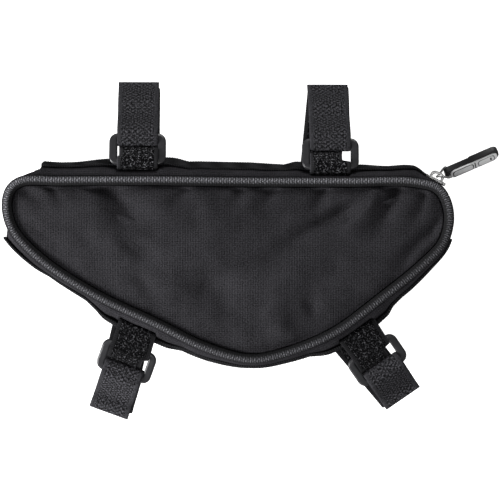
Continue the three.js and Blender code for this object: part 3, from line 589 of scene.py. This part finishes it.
# Share of the way across the coil, how far out as a share of its rise, and which row of turns
coil_section = [
    (0.0, -0.1, 0), (0.06, 0.5, 1), (0.2, 0.95, 1), (0.38, 1.0, 1), (0.49, 0.62, 0), (0.51, 0.62, 0),
    (0.62, 1.0, -1), (0.8, 0.95, -1), (0.94, 0.5, -1), (1.0, -0.1, 0), (0.9, -1.2, 0), (0.1, -1.2, 0),
]
stations = places(zip_from, slider_place - 0.006, 0.27 * mm)
lines = []
for share, rise, side in coil_section:
    line = []
    for place in stations:
        turn = math.sin(2 * math.pi * place * seam_length / coil_pitch + (math.pi if side < 0 else 0))
        reach = gusset_reach(place, coil_down) + rise * coil_rise + side * side * coil_swell * turn
        line.append(beside(place, reach, height_at(band_coil + gap_down + share * coil_band)))
    lines.append(line)
make_piece("zip_coil_turns", skin(lines, loop_across=True), [coil_look], ["zip_coil"])

# Webbing: two lengths of ribbed nylon webbing, 20 mm wide, sewn along the gusset nearer to its front
# seam. The straps pass behind them, so beside each strap the webbing stands off the bag.
rib_pitch = 1.3  # in millimetres, as the cloth's own map is
rib_rise = 0.16 * mm
band_steps = 14
webbing_look, tree, shader, spot, across, along = start_look("ribbed webbing")
slant = maths(tree, "ADD", along, maths(tree, "MULTIPLY", across, 0.35))
rib_height = maths(tree, "POWER", ribs(tree, slant, rib_pitch), 1.8)
yarns = ribs(tree, across, 0.55)
webbing_grain = grain(tree, spot, 0.45)
webbing_shade = maths(tree, "MULTIPLY", rib_height, yarns)
webbing_shade = maths(tree, "MULTIPLY_ADD", webbing_shade, 1.1, maths(tree, "MULTIPLY", webbing_grain, 0.15))
paint(tree, shader, webbing_shade, (0.002, 0.002, 0.0023), (0.045, 0.045, 0.049))
set_shader(shader, Roughness=0.8, Specular_IOR_Level=0.08)
relief(tree, shader, maths(tree, "ADD", yarns, maths(tree, "MULTIPLY", webbing_grain, 0.5)), 0.14, 0.7)


def webbing_point(lifts, place, share, out):
    """A point of the webbing: a share of the way from its front edge to its back edge, and how far out."""
    off = webbing_lift(lifts, place)
    front = gusset_bulge * row_value(gusset_rows, place, 1)
    back = gusset_bulge * row_value(gusset_rows, place, 2)
    down = webbing_from + (webbing_to - webbing_from) * share
    return beside(place, front + (back - front + 0.5 * mm) * share + off + out, height_at(down))


for name, lifts in (("top", top_lift), ("bottom", bottom_lift)):
    stations = places(lifts[0][0], lifts[-1][0], 0.325 * mm)
    lines = []
    for i in range(band_steps + 1):
        share = i / band_steps
        line = []
        for place in stations:
            run = place * seam_length / mm + 7 * share
            edge = 0.25 * mm if i in (0, band_steps) else 0
            rib = rib_rise * math.sin(2 * math.pi * run / rib_pitch)
            line.append(webbing_point(lifts, place, share, webbing_thick - edge + rib))
        lines.append(line)
    for share in (1.0, 0.5, 0.0):
        lines.append([webbing_point(lifts, place, share, 0) for place in stations])
    make_piece(
        f"{name}_webbing_band", skin(lines, loop_across=True), [webbing_look], [f"webbing_{name}"],
    )

# Rings: four moulded plastic loops, with softened edges, that the straps are sewn and folded round.
# Each lies in the slope between its two bars.
strap_width = 20.2 * mm
strap_thick = 1.3 * mm
ring_bar = 3.2 * mm
ring_bar_height = 2.4 * mm
ring_length = 16.2 * mm
ring_width = 28 * mm
ring_corner = 2.6 * mm
ring_inner_swell = 0.9 * mm
ring_sides = 16
ring_corner_steps = 9
strap_slack = 0.6 * mm
fold_height = 10 * mm
webbing_front_height = height_at(webbing_from)
webbing_back_height = height_at(webbing_to)
ring_height = webbing_front_height + ring_bar_height / 2 + strap_thick + strap_slack
# Place on the seam and lean in degrees, then slack before the ring, lift of the inner and the outer
# bar, far fold and tail past the ring, and how far the loop has slipped at its fold and at its back.
# The slack is in ring lengths, the lifts are in fold heights and the rest in strap widths.
strap_rows = {
    "top_left": (0.1113, 0, 0.052, 0.02, -0.32, 1.203, 1.361, 0.015, 0.0),
    "top_right": (0.2983, 0, 0.035, 0.02, -0.32, 1.347, 1.416, -0.03, -0.218),
    "bottom_right": (0.5757, -1.5, 0.555, -0.4, -0.66, 0.748, 0.837, 0.05, 0.208),
    "bottom_left": (0.7937, 4.4, 0.552, -0.4, -0.66, 0.866, 1.035, -0.05, 0.158),
}


def roughen(tree, shader, amount, spread, least):
    """Gives the surface a roughness that follows an amount from 0 to 1."""
    tree.links.new(maths(tree, "MULTIPLY_ADD", amount, spread, least), shader.inputs["Roughness"])


plastic_look, tree, shader, spot, _, _ = start_look("ring plastic")
moulded = grain(tree, spot, 0.35, 3.0)
rubbed = grain(tree, spot, 3.5, 2.0)
paint(tree, shader, rubbed, (0.015, 0.015, 0.017), (0.03, 0.03, 0.033))
roughen(tree, shader, rubbed, 0.16, 0.24)
relief(tree, shader, moulded, 0.05, 0.5)


def strap_frame(name):
    """Where a strap's ring lies: a point finder by reach, side and height, and its bars' places."""
    place, lean, slack, inner_lift, outer_lift = strap_rows[name][:5]
    origin, outward = seam_at(place)
    out = Matrix.Rotation(math.radians(lean), 3, "Z") @ outward
    side = Vector((out.y, -out.x, 0))
    front = gusset_bulge * row_value(gusset_rows, place, 1)
    inner = front + strap_thick + strap_slack + ring_bar / 2 + slack * ring_length

    def at(reach, across, height):
        point = origin + out * reach + side * across
        point.z = height
        return point

    return at, inner, inner + ring_length - ring_bar, (
        ring_height + inner_lift * fold_height, ring_height + outer_lift * fold_height,
    )


for name in strap_rows:
    at, inner, outer, (inner_height, outer_height) = strap_frame(name)
    fall = math.atan2(outer_height - inner_height, outer - inner)
    half_wide = (ring_width - ring_bar) / 2 - ring_corner
    half_long = (ring_length - ring_bar) / 2 - ring_corner
    lines = []
    for k in range(ring_sides):
        turn = 2 * math.pi * (k + 0.5) / ring_sides
        square = (abs(math.cos(turn)) ** 4 + abs(math.sin(turn)) ** 4) ** -0.25
        swell = ring_bar / 2 * square * math.cos(turn)
        up = ring_bar_height / 2 * square * math.sin(turn)
        line = []
        for corner, (sx, sy) in enumerate(((1, 1), (-1, 1), (-1, -1), (1, -1))):
            for step in range(ring_corner_steps + 1):
                angle = math.pi / 2 * (corner + step / ring_corner_steps)
                inward = ring_inner_swell * (swell < 0) * math.cos(angle)
                x = sx * half_wide + (ring_corner + swell) * math.cos(angle) - inward
                y = sy * half_long + (ring_corner + swell) * math.sin(angle)
                line.append(at(
                    (inner + outer) / 2 + y * math.cos(fall) - up * math.sin(fall), x,
                    (inner_height + outer_height) / 2 + y * math.sin(fall) + up * math.cos(fall),
                ))
        lines.append(line)
    ring = skin(lines, loop_along=True, loop_across=True)
    make_piece(f"{name}_ring_moulding", ring, [plastic_look], [f"ring_{name}"])

# Straps: woven nylon 20 mm wide, with a looped pile between two plain selvages on one side and a
# diamond weave on the other. Each is sewn round its ring's inner bar with the pile up, turns down
# behind the webbing, goes out and round its far fold, and comes back through the ring as a tail.
strap_middle = strap_width / 2 / mm
# How light each pile is: the bottom straps get a darker copy of the same pile, as painted shade
pile_looks = {}
for name, light in (("strap pile", 0.38), ("shaded strap pile", 0.2)):
    look, tree, shader, spot, across, along = start_look(name)
    in_pile = maths(tree, "COMPARE", across, strap_middle, 8.2)
    curls = maths(tree, "ABSOLUTE", maths(tree, "SUBTRACT", grain(tree, spot, 1.25, 1.0), 0.5))
    curls = held(tree, maths(tree, "MULTIPLY_ADD", curls, -12.0, 1.0))
    tufts = held(tree, maths(tree, "MULTIPLY_ADD", grain(tree, spot, 0.9, 1.0), 5.0, -2.3))
    columns = maths(tree, "MULTIPLY_ADD", ribs(tree, across, 3.3), 0.7, 0.3)
    columns = maths(tree, "MULTIPLY", columns, in_pile)
    pile_shade = maths(tree, "MULTIPLY", maths(tree, "MULTIPLY", curls, tufts), columns)
    strap_weft = ribs(tree, along, 0.9)
    plain_shade = maths(tree, "MULTIPLY_ADD", strap_weft, 0.03, 0.04)
    plain_shade = maths(tree, "MULTIPLY", plain_shade, maths(tree, "SUBTRACT", 1.0, in_pile))
    strap_shade = maths(tree, "ADD", pile_shade, plain_shade)
    paint(tree, shader, strap_shade, (0.0015, 0.0015, 0.0018), (light, light, 1.07 * light))
    set_shader(shader, Roughness=0.7, Specular_IOR_Level=0.04)
    relief(tree, shader, maths(tree, "MULTIPLY_ADD", strap_weft, 0.1, pile_shade), 0.5, 0.9)
    pile_looks[name] = look

back_look, tree, shader, spot, across, along = start_look("strap diamond weave")
in_band = maths(tree, "COMPARE", across, strap_middle, 8.0)
past_hem = held(tree, maths(tree, "MULTIPLY_ADD", along, 0.5, -1.8))
wander = maths(tree, "MULTIPLY", maths(tree, "SUBTRACT", grain(tree, spot, 2.2, 1.0), 0.5), 0.5)
step_across = maths(tree, "MULTIPLY_ADD", across, 1 / 2.75, wander)
step_along = maths(tree, "MULTIPLY", along, 1 / 1.95)
rising = ribs(tree, maths(tree, "ADD", step_across, step_along), 1.0)
falling = ribs(tree, maths(tree, "SUBTRACT", step_across, step_along), 1.0)
crossings = maths(tree, "POWER", maths(tree, "MULTIPLY", rising, falling), 1.4)
twill_lines = maths(tree, "POWER", ribs(tree, maths(tree, "ADD", step_across, step_along), 0.5), 2)
scatter = grain(tree, spot, 0.8, 2.0)
in_weave = maths(tree, "MULTIPLY", in_band, past_hem)
figure = maths(tree, "MULTIPLY_ADD", twill_lines, 0.2, maths(tree, "MULTIPLY", crossings, 0.75))
figure = maths(tree, "MULTIPLY", maths(tree, "ADD", figure, -0.28), in_weave)
rough = maths(tree, "MULTIPLY_ADD", in_weave, 2.6, 1.1)
back_shade = maths(tree, "MULTIPLY_ADD", maths(tree, "SUBTRACT", scatter, 0.5), rough, 0.36)
back_shade = maths(tree, "ADD", figure, back_shade)
paint(tree, shader, back_shade, (0.003, 0.003, 0.0034), (0.078, 0.077, 0.086))
set_shader(shader, Roughness=0.75, Specular_IOR_Level=0.1)
relief(tree, shader, maths(tree, "MULTIPLY_ADD", scatter, 0.3, figure), 0.3, 0.8)


def rounded_line(corners):
    """A line through corners of (point, radius, steps), each rounded off."""
    line = [corners[0][0]]
    for before, (corner, radius, steps), after in zip(corners, corners[1:], corners[2:]):
        back, on = before[0] - corner, after[0] - corner
        reach = min(radius, 0.49 * back.length, 0.49 * on.length)
        start, end = corner + back.normalized() * reach, corner + on.normalized() * reach
        for step in range(steps + 1):
            t = step / steps
            line.append(start * (1 - t) ** 2 + corner * (2 * t * (1 - t)) + end * t ** 2)
    return line + [corners[-1][0]]


# On which side the sewn end is narrower past the ring's inner bar, and by how much
sewn_ends = {
    "top_left": (-1, 1.2 * mm), "top_right": (1, 4.4 * mm), "bottom_right": (-1, 4.2 * mm),
    "bottom_left": (-1, 2.5 * mm),
}
slight_bend, plain_bend, far_bend = 1.56 * mm, 2.6 * mm, 4.8 * mm
tail_drift = -1.2 * mm


def strap_edge(name, side):
    """One edge of a strap, from its sewn end to the end of its tail."""
    at, inner, outer, (inner_height, outer_height) = strap_frame(name)
    place, _, _, _, _, fold_past, tail_past, fold_slip, back_slip = strap_rows[name]
    edge = side * strap_width / 2
    wrap = ring_bar / 2 + seam_gap + strap_thick / 2
    rise = ring_bar_height / 2 + seam_gap + strap_thick / 2
    turn = strap_thick + strap_slack
    _, outward = seam_at(place)

    def crossing(way, slip, column):
        spot = place + (way * strap_width / 2 + slip * strap_width) / seam_length
        stand = gusset_bulge * row_value(gusset_rows, spot, column) + seam_gap + strap_thick / 2
        return beside(spot, stand, 0)

    def gusset_crossing(slip, column, height):
        chord = (crossing(-1, slip, column) + crossing(1, slip, column)) / 2
        bulge = max(0, (crossing(0, slip, column) - chord).dot(outward))
        point = crossing(side, slip, column) + outward * bulge
        point.z = height
        return point

    floor = webbing_back_height - 4.5 * mm
    top = floor + fold_height
    fold = outer + fold_past * strap_width
    tail = outer + tail_past * strap_width
    near_fold = outer - 0.56 * ring_bar - wrap
    end_fold = near_fold - strap_thick - 0.5 * mm
    end_height = inner_height + (outer_height - inner_height) * (end_fold - inner) / (outer - inner)
    narrow_side, narrow = sewn_ends[name]
    end_edge = edge - side * narrow * (side == narrow_side)
    end_rise = strap_thick / 2 + 0.25 * mm
    under = outer_height - rise
    slope = (under - top) / (fold - near_fold)
    tail_gap = (strap_thick + seam_gap) * math.hypot(1, slope)
    settle = fold - 0.2 * strap_width
    drift = tail_drift if name == "top_right" else 0
    slipped = edge + fold_slip * strap_width
    return rounded_line([
        (at(inner - ring_bar / 8, end_edge, inner_height - rise), 0, 0),
        (at(end_fold, end_edge, end_height - end_rise), rise, 8),
        (at(end_fold, end_edge, end_height + end_rise), rise, 8),
        (at(inner + 1.3 * wrap, end_edge, inner_height + rise - 0.3 * mm), 0.6 * mm, 3),
        (at(inner + 1.1 * wrap, edge, inner_height + rise - 0.1 * mm), 0.6 * mm, 3),
        (at(inner - ring_bar / 2, edge, inner_height + rise), slight_bend, 6),
        (gusset_crossing(0, 1, webbing_front_height + turn), slight_bend, 6),
        (gusset_crossing(back_slip, 2, webbing_back_height - turn), plain_bend, 6),
        (at(fold, slipped, floor), far_bend, 10),
        (at(fold, slipped, top), far_bend, 10),
        (at(near_fold, edge, under), wrap, 8),
        (at(near_fold, edge, outer_height + rise), wrap, 8),
        (at(outer + ring_bar / 2, edge, outer_height + rise), slight_bend, 6),
        (at(settle, edge + 0.7 * drift, top + slope * (fold - settle) + tail_gap), plain_bend, 6),
        (at(tail, edge + drift, top + slope * (fold - tail) + tail_gap), 0, 0),
    ])


wave_height = 1.1 * mm
wave_from, wave_full = 17 * mm, 21 * mm


def wave(name, point):
    """Moves a point up or down on a slow wave, if it is in the high part of the loop past the ring."""
    at, _, outer, _ = strap_frame(name)
    past = (point - at(outer, 0, 0)).dot((at(1, 0, 0) - at(0, 0, 0)).normalized()) / mm
    if past > 0:
        high = min(1, max(0, (point.z - wave_from) / (wave_full - wave_from)))
        point.z += wave_height * high * min(1, past / 2) * math.sin(past / 2.2 - 0.4)


def even_edges(left, right, step):
    """Both edges of a strap again, with their points an even step apart."""
    runs = [0.0]
    for i in range(1, len(left)):
        runs.append(runs[-1] + ((left[i] + right[i]) / 2 - (left[i - 1] + right[i - 1]) / 2).length)
    count = round(runs[-1] / step)
    evened = [[], []]
    for n in range(count + 1):
        run = runs[-1] * n / count
        i = min(bisect.bisect_right(runs, run), len(runs) - 1) - 1
        share = (run - runs[i]) / max(runs[i + 1] - runs[i], 1e-9)
        for line, edge in zip(evened, (left, right)):
            line.append(edge[i].lerp(edge[i + 1], min(share, 1)))
    return evened


strap_steps = 32
pile_height = 0.3 * mm
weave_height = 0.06 * mm
back_run_top = 17.5 * mm
# The lines go over the pile's side first, and then back over the weave's side
for name in strap_rows:
    left, right = even_edges(strap_edge(name, -1), strap_edge(name, 1), 0.5 * mm)
    for point in left + right:
        wave(name, point)
    faces = []
    for i in range(len(left)):
        a, b = max(i - 1, 0), min(i + 1, len(left) - 1)
        travel = left[b] + right[b] - left[a] - right[a]
        faces.append(travel.cross(right[i] - left[i]).normalized())
    lines = []
    for way in (1, -1):
        for k in range(strap_steps + 1):
            share = k / strap_steps if way > 0 else 1 - k / strap_steps
            near_edge = min(k, strap_steps - k)
            half = strap_thick / 2 - (0.32 * mm if near_edge == 0 else 0.08 * mm if near_edge == 1 else 0)
            line = []
            for i, (a, b) in enumerate(zip(left, right)):
                spot = Vector((i * 0.9, k * 0.9, way * 5))
                rough = 0.0
                if way > 0 and near_edge > 3:
                    rough = pile_height * abs(noise.noise(spot * 1.3))
                elif near_edge > 3:
                    rough = weave_height * noise.noise(spot)
                line.append(a.lerp(b, share) + faces[i] * (way * (half + rough)))
            lines.append(line)
    strap = skin([line[::-1] for line in lines], loop_across=True)
    row, cloth_map = strap.verts.layers.int["row"], strap.loops.layers.uv["UVMap"]
    strap_run = max(loop[cloth_map].uv.y for face in strap.faces for loop in face.loops)
    for face in strap.faces:
        rows_here = [vert[row] for vert in face.verts]
        on_pile = max(rows_here) <= strap_steps + 1 and 0 not in rows_here[1:]
        on_back_run = max(vert.co.z for vert in face.verts) < back_run_top
        face.material_index = 0 if on_pile or on_back_run else 1
        for loop in face.loops:
            r = loop.vert[row]
            side_share = (r if r <= strap_steps else 2 * strap_steps + 1 - r) / strap_steps
            loop[cloth_map].uv.x = side_share * strap_width / mm
            loop[cloth_map].uv.y = strap_run - loop[cloth_map].uv.y
    # The bottom straps take the darker copy of the pile, with painted shade
    face_look = pile_looks["strap pile" if name.startswith("top") else "shaded strap pile"]
    make_piece(f"{name}_strap_weave", strap, [face_look, back_look], [f"strap_{name}"])

# Zip slider: die-cast and plated, with a plate over the coil, a smaller one behind it, and a bail
# along its back. Its axes run along the zip, out of the bag and across the zip.
metal_look, tree, shader, spot, _, _ = start_look("plated metal")
brushed = grain(tree, spot, 0.6, 3.0)
paint(tree, shader, brushed, (0.2, 0.2, 0.2), (0.8, 0.8, 0.79))
roughen(tree, shader, brushed, 0.2, 0.3)
set_shader(shader, Metallic=1.0)
relief(tree, shader, brushed, 0.02, 0.4)
slider_reach = gusset_reach(slider_place, coil_down)
slider_origin = beside(slider_place, slider_reach, height_at(coil_down))
slider_out = seam_at(slider_place)[1]
slider_turn = math.atan2(slider_out.y, slider_out.x) - math.pi / 2
slider_matrix = Matrix.Translation(slider_origin) @ Matrix.Rotation(slider_turn, 4, "Z")
slider_top = 2.7 * mm


def rounded_outline(x0, y0, x1, y1, radius, steps=5):
    """Points round a rectangle with rounded corners."""
    outline = []
    for corner, (x, y) in enumerate(((x1, y1), (x0, y1), (x0, y0), (x1, y0))):
        inset_x, inset_y = (radius if x == x0 else -radius), (radius if y == y0 else -radius)
        for step in range(steps + 1):
            angle = math.pi / 2 * (corner + step / steps)
            outline.append((
                x + inset_x + radius * math.cos(angle), y + inset_y + radius * math.sin(angle),
            ))
    return outline


def slab(outline, thick, soften, segments=3):
    """A flat plate of an outline, from 0 up to its thickness, with its edges softened."""
    shape = bmesh.new()
    shape.loops.layers.uv.new("UVMap")
    base = shape.faces.new([shape.verts.new((x, y, 0)) for x, y in outline])
    grown = bmesh.ops.extrude_face_region(shape, geom=[base])["geom"]
    lifted = [item for item in grown if isinstance(item, bmesh.types.BMVert)]
    bmesh.ops.translate(shape, verts=lifted, vec=(0, 0, thick))
    bmesh.ops.recalc_face_normals(shape, faces=shape.faces)
    rims = [edge for edge in shape.edges if abs(edge.verts[0].co.z - edge.verts[1].co.z) < 1e-9]
    bmesh.ops.bevel(
        shape, geom=rims, offset=soften, segments=segments, profile=0.5, affect="EDGES", material=-1,
        clamp_overlap=True,
    )
    return shape


def join_into(shape, other, matrix=Matrix()):
    """Adds another mesh to a shape, moved by a matrix."""
    other.transform(matrix)
    mesh = bpy.data.meshes.new("part")
    other.to_mesh(mesh)
    other.free()
    shape.from_mesh(mesh)
    bpy.data.meshes.remove(mesh)


def map_box(shape):
    """Sets a UV map in millimetres on a small hard piece, by which way each face points."""
    box_map = shape.loops.layers.uv["UVMap"]
    for face in shape.faces:
        axis = max(range(3), key=lambda i: abs(face.normal[i]))
        first, second = ((1, 2), (0, 2), (0, 1))[axis]
        for loop in face.loops:
            loop[box_map].uv = loop.vert.co[first] / mm, loop.vert.co[second] / mm


flat_out = Matrix.Rotation(-math.pi / 2, 4, "X")
slider = slab(rounded_outline(-5.5 * mm, -4.3 * mm, 5.5 * mm, 4.3 * mm, 2.15 * mm), 1.5 * mm, 0.4 * mm)
slider.transform(Matrix.Translation((0, 1.2 * mm, 0)) @ flat_out)
lower = slab(rounded_outline(-3 * mm, -3.2 * mm, 3 * mm, 3.2 * mm, 0.8 * mm), 1.5 * mm, 0.3 * mm)
join_into(slider, lower, Matrix.Translation((0, -4 * mm, 0)) @ flat_out)
post = slab(rounded_outline(1.4 * mm, -0.9 * mm, 3 * mm, 0.9 * mm, 0.3 * mm), 4.2 * mm, 0.1 * mm)
join_into(slider, post, Matrix.Translation((0, -2.8 * mm, 0)) @ flat_out)
# The bail's bends in millimetres, along the slider and out of it. It is thinner at its feet.
bail_path = [(-3.3, -0.4), (-3.3, 1.4), (-2.9, 2.6), (-1.9, 3.3), (-0.7, 3.4), (0.7, 3.4), (1.9, 3.3),
             (2.9, 2.6), (3.3, 1.4), (3.3, -0.4)]
bail_lines = []
for out, z in ((-0.3, -1.0), (-0.3, 1.0), (1, 1.0), (1, -1.0)):
    squeeze = 1 - out / 3.3
    bail_lines.append([
        Vector((x * squeeze * mm, slider_top + (y - out * (1.0 if y > 1.5 else 0.5)) * mm, z * mm))
        for x, y in bail_path
    ])
bail = skin(bail_lines, loop_across=True)
bmesh.ops.bevel(
    bail, geom=bail.edges[:], offset=0.16 * mm, segments=2, profile=0.5, affect="EDGES", material=-1,
    clamp_overlap=True,
)
join_into(slider, bail)
map_box(slider)
slider.transform(slider_matrix)
make_piece("slider_casting", slider, [metal_look], ["zip_slider"])

# Zip pull: a bent wire link through the slider's bail, a rubber grip with softened edges and a step
# half way along one side, and a pale plate let into its face. The plate carries two plain ovals with
# dark edges, cross bars and two ribs.
hinge = Vector(frame["joints"][0]["pos_m"])
pull_matrix = Matrix.Translation(hinge) @ Matrix.Rotation(math.radians(23.4), 4, "Z")
pull_roll = math.radians(26)
face_way = Vector((0, -math.cos(pull_roll), math.sin(pull_roll)))
wire = 1.2 * mm
link_length = 6.4 * mm
near, far = 0.9 * mm + seam_gap + wire, 2 * mm + seam_gap + wire / 2
upright = Vector((0, 0, 1))
link_bends = []
for x, way, reach in (
    (0, upright, 0.6 * near), (0, upright, -0.6 * near), (0.35 * wire, upright, -near),
    (link_length - 0.6 * wire, face_way, -far), (link_length, face_way, -0.6 * far),
    (link_length, face_way, 0.6 * far), (link_length - 0.6 * wire, face_way, far),
    (0.35 * wire, upright, near),
):
    bend = way * reach
    bend.x = x
    link_bends.append(bend)
link_line = bent_line(link_bends, 8)
link_centre = Vector((link_length / 2, 0, 0))
wire_sides = 10
link_lines = []
for k in range(wire_sides):
    turn = 2 * math.pi * k / wire_sides
    line = []
    for i, point in enumerate(link_line):
        travel = (link_line[(i + 1) % len(link_line)] - link_line[i - 1]).normalized()
        off = point - link_centre
        side = (off - travel * off.dot(travel)).normalized()
        line.append(point + (side * math.cos(turn) + travel.cross(side) * math.sin(turn)) * wire / 2)
    link_lines.append(line)
link = skin(link_lines, loop_along=True, loop_across=True)
link.transform(pull_matrix)
make_piece("pull_link_wire", link, [metal_look], ["pull_link"], "zip_pull")

rubber_look, tree, shader, spot, _, _ = start_look("grip rubber")
skin_grain = grain(tree, spot, 0.25, 3.0)
smudge = grain(tree, spot, 4.0, 2.0)
paint(tree, shader, smudge, (0.009, 0.009, 0.0095), (0.02, 0.02, 0.021))
roughen(tree, shader, smudge, 0.16, 0.4)
relief(tree, shader, skin_grain, 0.03, 0.6)
grip_matrix = pull_matrix @ Matrix.Rotation(math.pi / 2 - pull_roll, 4, "X")


def arc(x, y, radius, start, end, steps=6):
    """Points round part of a circle, in millimetres and degrees."""
    angles = [math.radians(start + (end - start) * i / steps) for i in range(steps + 1)]
    return [((x + radius * math.cos(a)) * mm, (y + radius * math.sin(a)) * mm) for a in angles]


grip_outline = (
    arc(29.9, -1.5, 3, -90, 0) + arc(29.9, 1.5, 3, 0, 90) + [(18 * mm, 4.5 * mm), (17.2 * mm, 3.7 * mm)]
    + arc(6, 1.7, 2, 90, 180) + arc(6, -2.5, 2, 180, 270)
)
grip = slab(grip_outline, 3.4 * mm, 0.9 * mm, 4)
grip.transform(Matrix.Translation((0, 0, -1.4 * mm)))
map_box(grip)
grip.transform(grip_matrix)
make_piece("grip_rubber", grip, [rubber_look], ["pull_tab"], "zip_pull")

plate_look, tree, shader, spot, _, _ = start_look("pale plate")
satin = grain(tree, spot, 0.5, 2.0)
paint(tree, shader, satin, (0.88, 0.88, 0.89), (0.96, 0.96, 0.97))
set_shader(shader, Roughness=0.3, Specular_IOR_Level=0.7)
relief(tree, shader, satin, 0.02, 0.4)
plate = slab(rounded_outline(6.6 * mm, -3.7 * mm, 31.7 * mm, 3.3 * mm, 2.4 * mm, 8), 0.8 * mm, 0.15 * mm, 2)
# Each raised field: its two ends, half its width and its height in millimetres, and whether it is dark
for x0, x1, half_wide, high, dark in (
    (7.6, 18.9, 2.9, 0.06, 1), (8.1, 18.4, 2.45, 0.12, 0), (19.5, 20.0, 3.1, 0.06, 1),
    (21.2, 30.2, 2.9, 0.06, 1), (21.6, 29.8, 2.55, 0.12, 0), (27.7, 28.6, 1.5, 0.14, 1),
):
    corner = min(0.45 * (x1 - x0), 0.7 * half_wide, 1.6) * mm
    outline = rounded_outline(x0 * mm, (-0.2 - half_wide) * mm, x1 * mm, (half_wide - 0.2) * mm, corner, 4)
    field = slab(outline, high * mm, 0.02 * mm, 1)
    for face in field.faces:
        face.material_index = dark
    join_into(plate, field, Matrix.Translation((0, 0, 0.79 * mm)))
for y in (-1.25, 0.45):
    outline = rounded_outline(9.8 * mm, y * mm, 16.8 * mm, (y + 0.5) * mm, 0.2 * mm, 3)
    rib = slab(outline, 0.12 * mm, 0.04 * mm, 1)
    join_into(plate, rib, Matrix.Translation((0, 0, 0.88 * mm)))
plate.transform(Matrix.Translation((0, 0, 1.9 * mm)))
map_box(plate)
plate.transform(grip_matrix)
make_piece("grip_plate", plate, [plate_look, rubber_look], ["pull_plate"], "zip_pull")

# Stage: a pale floor, a soft white sky with five broad lamps, and a camera straight above the bag.
floor_gap = 0.4 * mm
floor_shape = bmesh.new()
bmesh.ops.create_grid(floor_shape, x_segments=2, y_segments=2, size=3.0)
bmesh.ops.translate(floor_shape, verts=floor_shape.verts, vec=(0, 0, -floor_gap))
floor_mesh = bpy.data.meshes.new("floor")
floor_shape.to_mesh(floor_mesh)
floor_shape.free()
floor = bpy.data.objects.new("floor", floor_mesh)
bpy.context.scene.collection.objects.link(floor)
floor_look = bpy.data.materials.new("pale floor")
floor_look.use_nodes = True
set_shader(
    floor_look.node_tree.nodes["Principled BSDF"],
    Base_Color=(0.9, 0.9, 0.9, 1), Roughness=0.9, Emission_Color=(1, 1, 1, 1), Emission_Strength=1.0,
)
floor_mesh.materials.append(floor_look)
floor.visible_diffuse = False
floor.visible_glossy = False

world = bpy.data.worlds.new("sky")
world.use_nodes = True
world.node_tree.nodes["Background"].inputs["Color"].default_value = (1, 1, 1, 1)
world.node_tree.nodes["Background"].inputs["Strength"].default_value = 0.16
bpy.context.scene.world = world
bpy.context.scene.view_settings.view_transform = "Standard"

# Each lamp stands somewhere in metres, with its size in metres and its power in watts
lamps_face = Vector((0, 0, 0.02))
for name, place, size, power in (
    ("key lamp", (-1.0, -0.25, 0.5), 0.35, 19), ("top lamp", (0.0, -0.1, 2.0), 0.7, 6),
    ("back lamp", (0.15, 1.0, 0.35), 0.5, 6), ("right lamp", (1.0, -0.3, 0.3), 0.5, 1.5),
    ("front lamp", (-0.3, -1.0, 0.24), 0.5, 6.5),
):
    lamp = bpy.data.lights.new(name, "AREA")
    lamp.size = size
    lamp.energy = power
    holder = bpy.data.objects.new(name, lamp)
    holder.location = place
    holder.rotation_euler = (lamps_face - Vector(place)).to_track_quat("-Z", "Y").to_euler()
    bpy.context.scene.collection.objects.link(holder)

camera_data = bpy.data.cameras.new("camera")
camera_data.sensor_width = 36
camera_data.lens = 228.4
view_middle = (10.9 * mm, 9.7 * mm)
camera_height = 1.6
camera = bpy.data.objects.new("camera", camera_data)
camera.location = (*view_middle, camera_height)
bpy.context.scene.collection.objects.link(camera)
bpy.context.scene.camera = camera
